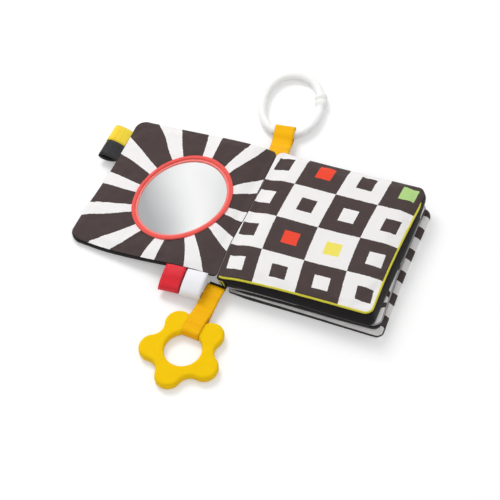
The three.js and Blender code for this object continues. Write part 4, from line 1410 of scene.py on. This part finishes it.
# %% The hem that holds the strap
HEM_HALF_THICK = 1.0
HEM_BEND_STEPS = 24
HEM_NARROWER = 2
hem_turns = [math.pi / 2 + math.pi * i / HEM_BEND_STEPS for i in range(HEM_BEND_STEPS + 1)]
hem_path = [(leg, HEM_HALF_THICK) for leg in (4.0, 1.5)]
hem_path += [(HEM_HALF_THICK * math.cos(a), HEM_HALF_THICK * math.sin(a)) for a in hem_turns]
hem_path += [(leg, -HEM_HALF_THICK) for leg in (1.5, 4.0)]
on_hem = outward(-2.6, -79.0, 9.0, STRAP_HEADING)
hem = ribbon("strap_hem_fold", hem_path, STRAP_WIDTH - HEM_NARROWER, on_hem, "spine_and_back_cover",
             black_cotton, thickness=0.8)
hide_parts("strap_hem")
print("hem", STRAP_WIDTH - HEM_NARROWER, "mm wide")

# %% [markdown]
# Two pieces are moulded in a steel tool: the link ring of polypropylene and the teether of silicone.
# Both let a little light in below the surface, so their shadows are soft and their edges glow.
# Polypropylene comes out smooth, with a clear soft highlight. Silicone takes the tool's fine blasted
# grain, so it looks dull and dense, and its highlight spreads wide.

# %% Moulded plastics


def moulded(name, colours, patch, detail, grain, look):
    """A moulded plastic. grain is its size, its strength and its depth in millimetres."""
    material, tree, shader, place = blank_material(name)
    plug(tree, shader, {"Base Color": patchy(tree, place, patch, *colours, detail),
                        "Normal": grained(tree, place, *grain), "Subsurface Scale": 1.0, **look})
    return material


white_plastic = moulded("moulded_white_polypropylene", ("#ffffff", "#fdfbf6"), 18, 3.0, (1.2, 0.1, 0.1),
                        {"Roughness": 0.34, "IOR": 1.49, "Subsurface Weight": 0.5,
                         "Subsurface Radius": (0.008, 0.008, 0.007)})
silicone = moulded("moulded_yellow_silicone", ("#fbce00", "#f6c600"), 7, 4.0, (1.6, 0.3, 0.25),
                   {"Roughness": 0.5, "IOR": 1.41, "Specular IOR Level": 0.2, "Subsurface Weight": 0.12,
                    "Subsurface Radius": (0.004, 0.003, 0.001)})
print("moulded", white_plastic.name, silicone.name)

# %% [markdown]
# The link ring is moulded in one piece: an oval bar of round section that snaps shut, with a
# rounded knuckle on each side of the closure. A torus has one thickness all round, so the bar is a
# tube through rings of points, each with its own radius, and closer together near the closure.

# %% The link ring
RING_HALF_WIDTH = 28.3
RING_HALF_LENGTH = 38.6
RING_FULLNESS = 0.92  # below 1 the oval is a little squarer than an ellipse
RING_MEAN = (RING_HALF_WIDTH + RING_HALF_LENGTH) / 2
CLOSURE = math.radians(-76)
CLOSURE_GAP = 0.35 / RING_MEAN
KNUCKLE_SWELL = 2.1
KNUCKLE_LENGTH = 7.0
RING_REST = 5.4  # the bar's middle is this high above the floor
RING_SIDES = 24
RING_STEPS = 220


def ring_radius(from_end):
    """The bar's radius at a distance in millimetres from the closure."""
    tip = ease(from_end + 0.15, 1.6)
    swell = KNUCKLE_SWELL * math.sin(math.pi * held((from_end + 0.6) / KNUCKLE_LENGTH)) ** 0.8
    return (TUBE + swell) * tip


points = []
for i in range(RING_STEPS + 1):
    t = i / RING_STEPS
    t = between(t, (1 - math.cos(math.pi * t)) / 2, 0.6)  # closer together near the closure
    angle = CLOSURE + CLOSURE_GAP + t * (FULL_TURN - 2 * CLOSURE_GAP)
    out = Vector((RING_HALF_WIDTH * math.cos(angle), RING_HALF_LENGTH * math.sin(angle))).normalized()
    length, width = blunt(math.cos(angle), RING_FULLNESS), blunt(math.sin(angle), RING_FULLNESS)
    middle = Vector((TUBE_AT + RING_HALF_LENGTH * (1 + length), RING_HALF_WIDTH * width))
    radius = ring_radius(min(t, 1 - t) * FULL_TURN * RING_MEAN)
    for k in range(RING_SIDES):
        turn = FULL_TURN * k / RING_SIDES
        at = middle + out * radius * math.cos(turn)
        points.append(on_tab(at.x, at.y, -TAB_DROP + max(radius * math.sin(turn), -RING_REST)))
link = mesh_piece("link_ring_bar", points, tube_faces(RING_STEPS + 1, RING_SIDES), "link_ring",
                  (white_plastic,))
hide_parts("link_ring")
print("link ring", len(points), "points")

# %% [markdown]
# The teether is a soft flower with five round petals about a round hole. Its outline is a curve of
# arcs: a petal's circle and the circle of the hollow beside it meet without a corner, which gives
# the lean angle below. A filled curve with a bevel gives the rounded moulded edge.

# %% The flower's outline
PETALS = 5
PETAL_CENTRE = 28.2
PETAL_RADIUS = 12.9
VALLEY = 29.2
HOLE = 17.6
HOLE_STEPS = 96
FIFTH = FULL_TURN / PETALS
PETAL_STEPS = 20
VALLEY_STEPS = 10


def arc(middle, radius, start, end, steps):
    """Points along an arc, both ends among them."""
    angles = [between(start, end, k / steps) for k in range(steps + 1)]
    return [(middle[0] + radius * math.cos(a), middle[1] + radius * math.sin(a)) for a in angles]


def flower_outline():
    """Five petals joined by hollow arcs."""
    across = PETAL_CENTRE * math.sin(FIFTH / 2)
    along = PETAL_CENTRE * math.cos(FIFTH / 2)
    reach = VALLEY - along
    hollow = (reach ** 2 + across ** 2 - PETAL_RADIUS ** 2) / (2 * (PETAL_RADIUS - reach))
    hollow_at = VALLEY + hollow
    lean = math.atan2(across, hollow_at - along)
    out = FIFTH / 2 + lean
    points = []
    for i in range(PETALS):
        petal = FIFTH * i + FIFTH / 2
        valley = FIFTH * (i + 1)
        centre = (PETAL_CENTRE * math.cos(petal), PETAL_CENTRE * math.sin(petal))
        points += arc(centre, PETAL_RADIUS, petal - out, petal + out, PETAL_STEPS)
        centre = (hollow_at * math.cos(valley), hollow_at * math.sin(valley))
        facing = valley + math.pi
        points += arc(centre, hollow, facing + lean, facing - lean, VALLEY_STEPS)[1:-1]
    return points


print("flower with", PETALS, "petals")

# %% [markdown]
# The curve is turned into a mesh, so that each of its points can be moved to where the teether
# hangs on its strap, lying almost flat. Seen through the camera it is a little longer and narrower
# than its plan, so it is drawn that way.

# %% The flower teether
TEETHER_ROUNDING = 2.9
TEETHER_AT = 66.9
TEETHER_TILT = math.radians(1.25)
TEETHER_LONG, TEETHER_NARROW = 1.045, 0.97
TEETHER_ASIDE, TEETHER_DOWN = 1.6, 5.1


def flat_curve(name, outlines, half, rounding):
    """A filled curve with rounded edges, as a mesh about the origin."""
    curve = bpy.data.curves.new(name, "CURVE")
    curve.dimensions = "2D"
    curve.fill_mode = "BOTH"
    for outline in outlines:
        spline = curve.splines.new("POLY")
        spline.points.add(len(outline) - 1)
        for point, (x, y) in zip(spline.points, outline):
            point.co = (x * MM, y * MM, 0, 1)
        spline.use_cyclic_u = True
    curve.bevel_depth = rounding * MM
    curve.bevel_resolution = 6
    curve.offset = -rounding * MM
    curve.extrude = (half - rounding) * MM
    piece = linked(name, curve)
    mesh = bpy.data.meshes.new_from_object(piece.evaluated_get(bpy.context.evaluated_depsgraph_get()))
    bpy.data.objects.remove(piece)
    return mesh


circle = arc((0, 0), HOLE, 0, FULL_TURN, HOLE_STEPS)[:-1]
flower = flat_curve("flower_teether", [flower_outline(), circle], TEETHER_HALF, TEETHER_ROUNDING)
for vertex in flower.vertices:
    x, y, z = vertex.co / MM
    out = TEETHER_AT - TEETHER_LONG * x * math.cos(TEETHER_TILT) - z * math.sin(TEETHER_TILT)
    up = z * math.cos(TEETHER_TILT) + x * math.sin(TEETHER_TILT) - TEETHER_DOWN
    vertex.co = on_strap(out, TEETHER_ASIDE - y * TEETHER_NARROW, up)
flower.materials.clear()
flower.materials.append(silicone)
for polygon in flower.polygons:
    polygon.material_index = 0
flower.shade_smooth()
teether = linked("flower_teether", flower)
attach(teether, "teether")
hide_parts("teether")
print("teether", [round(d, 3) for d in teether.dimensions])
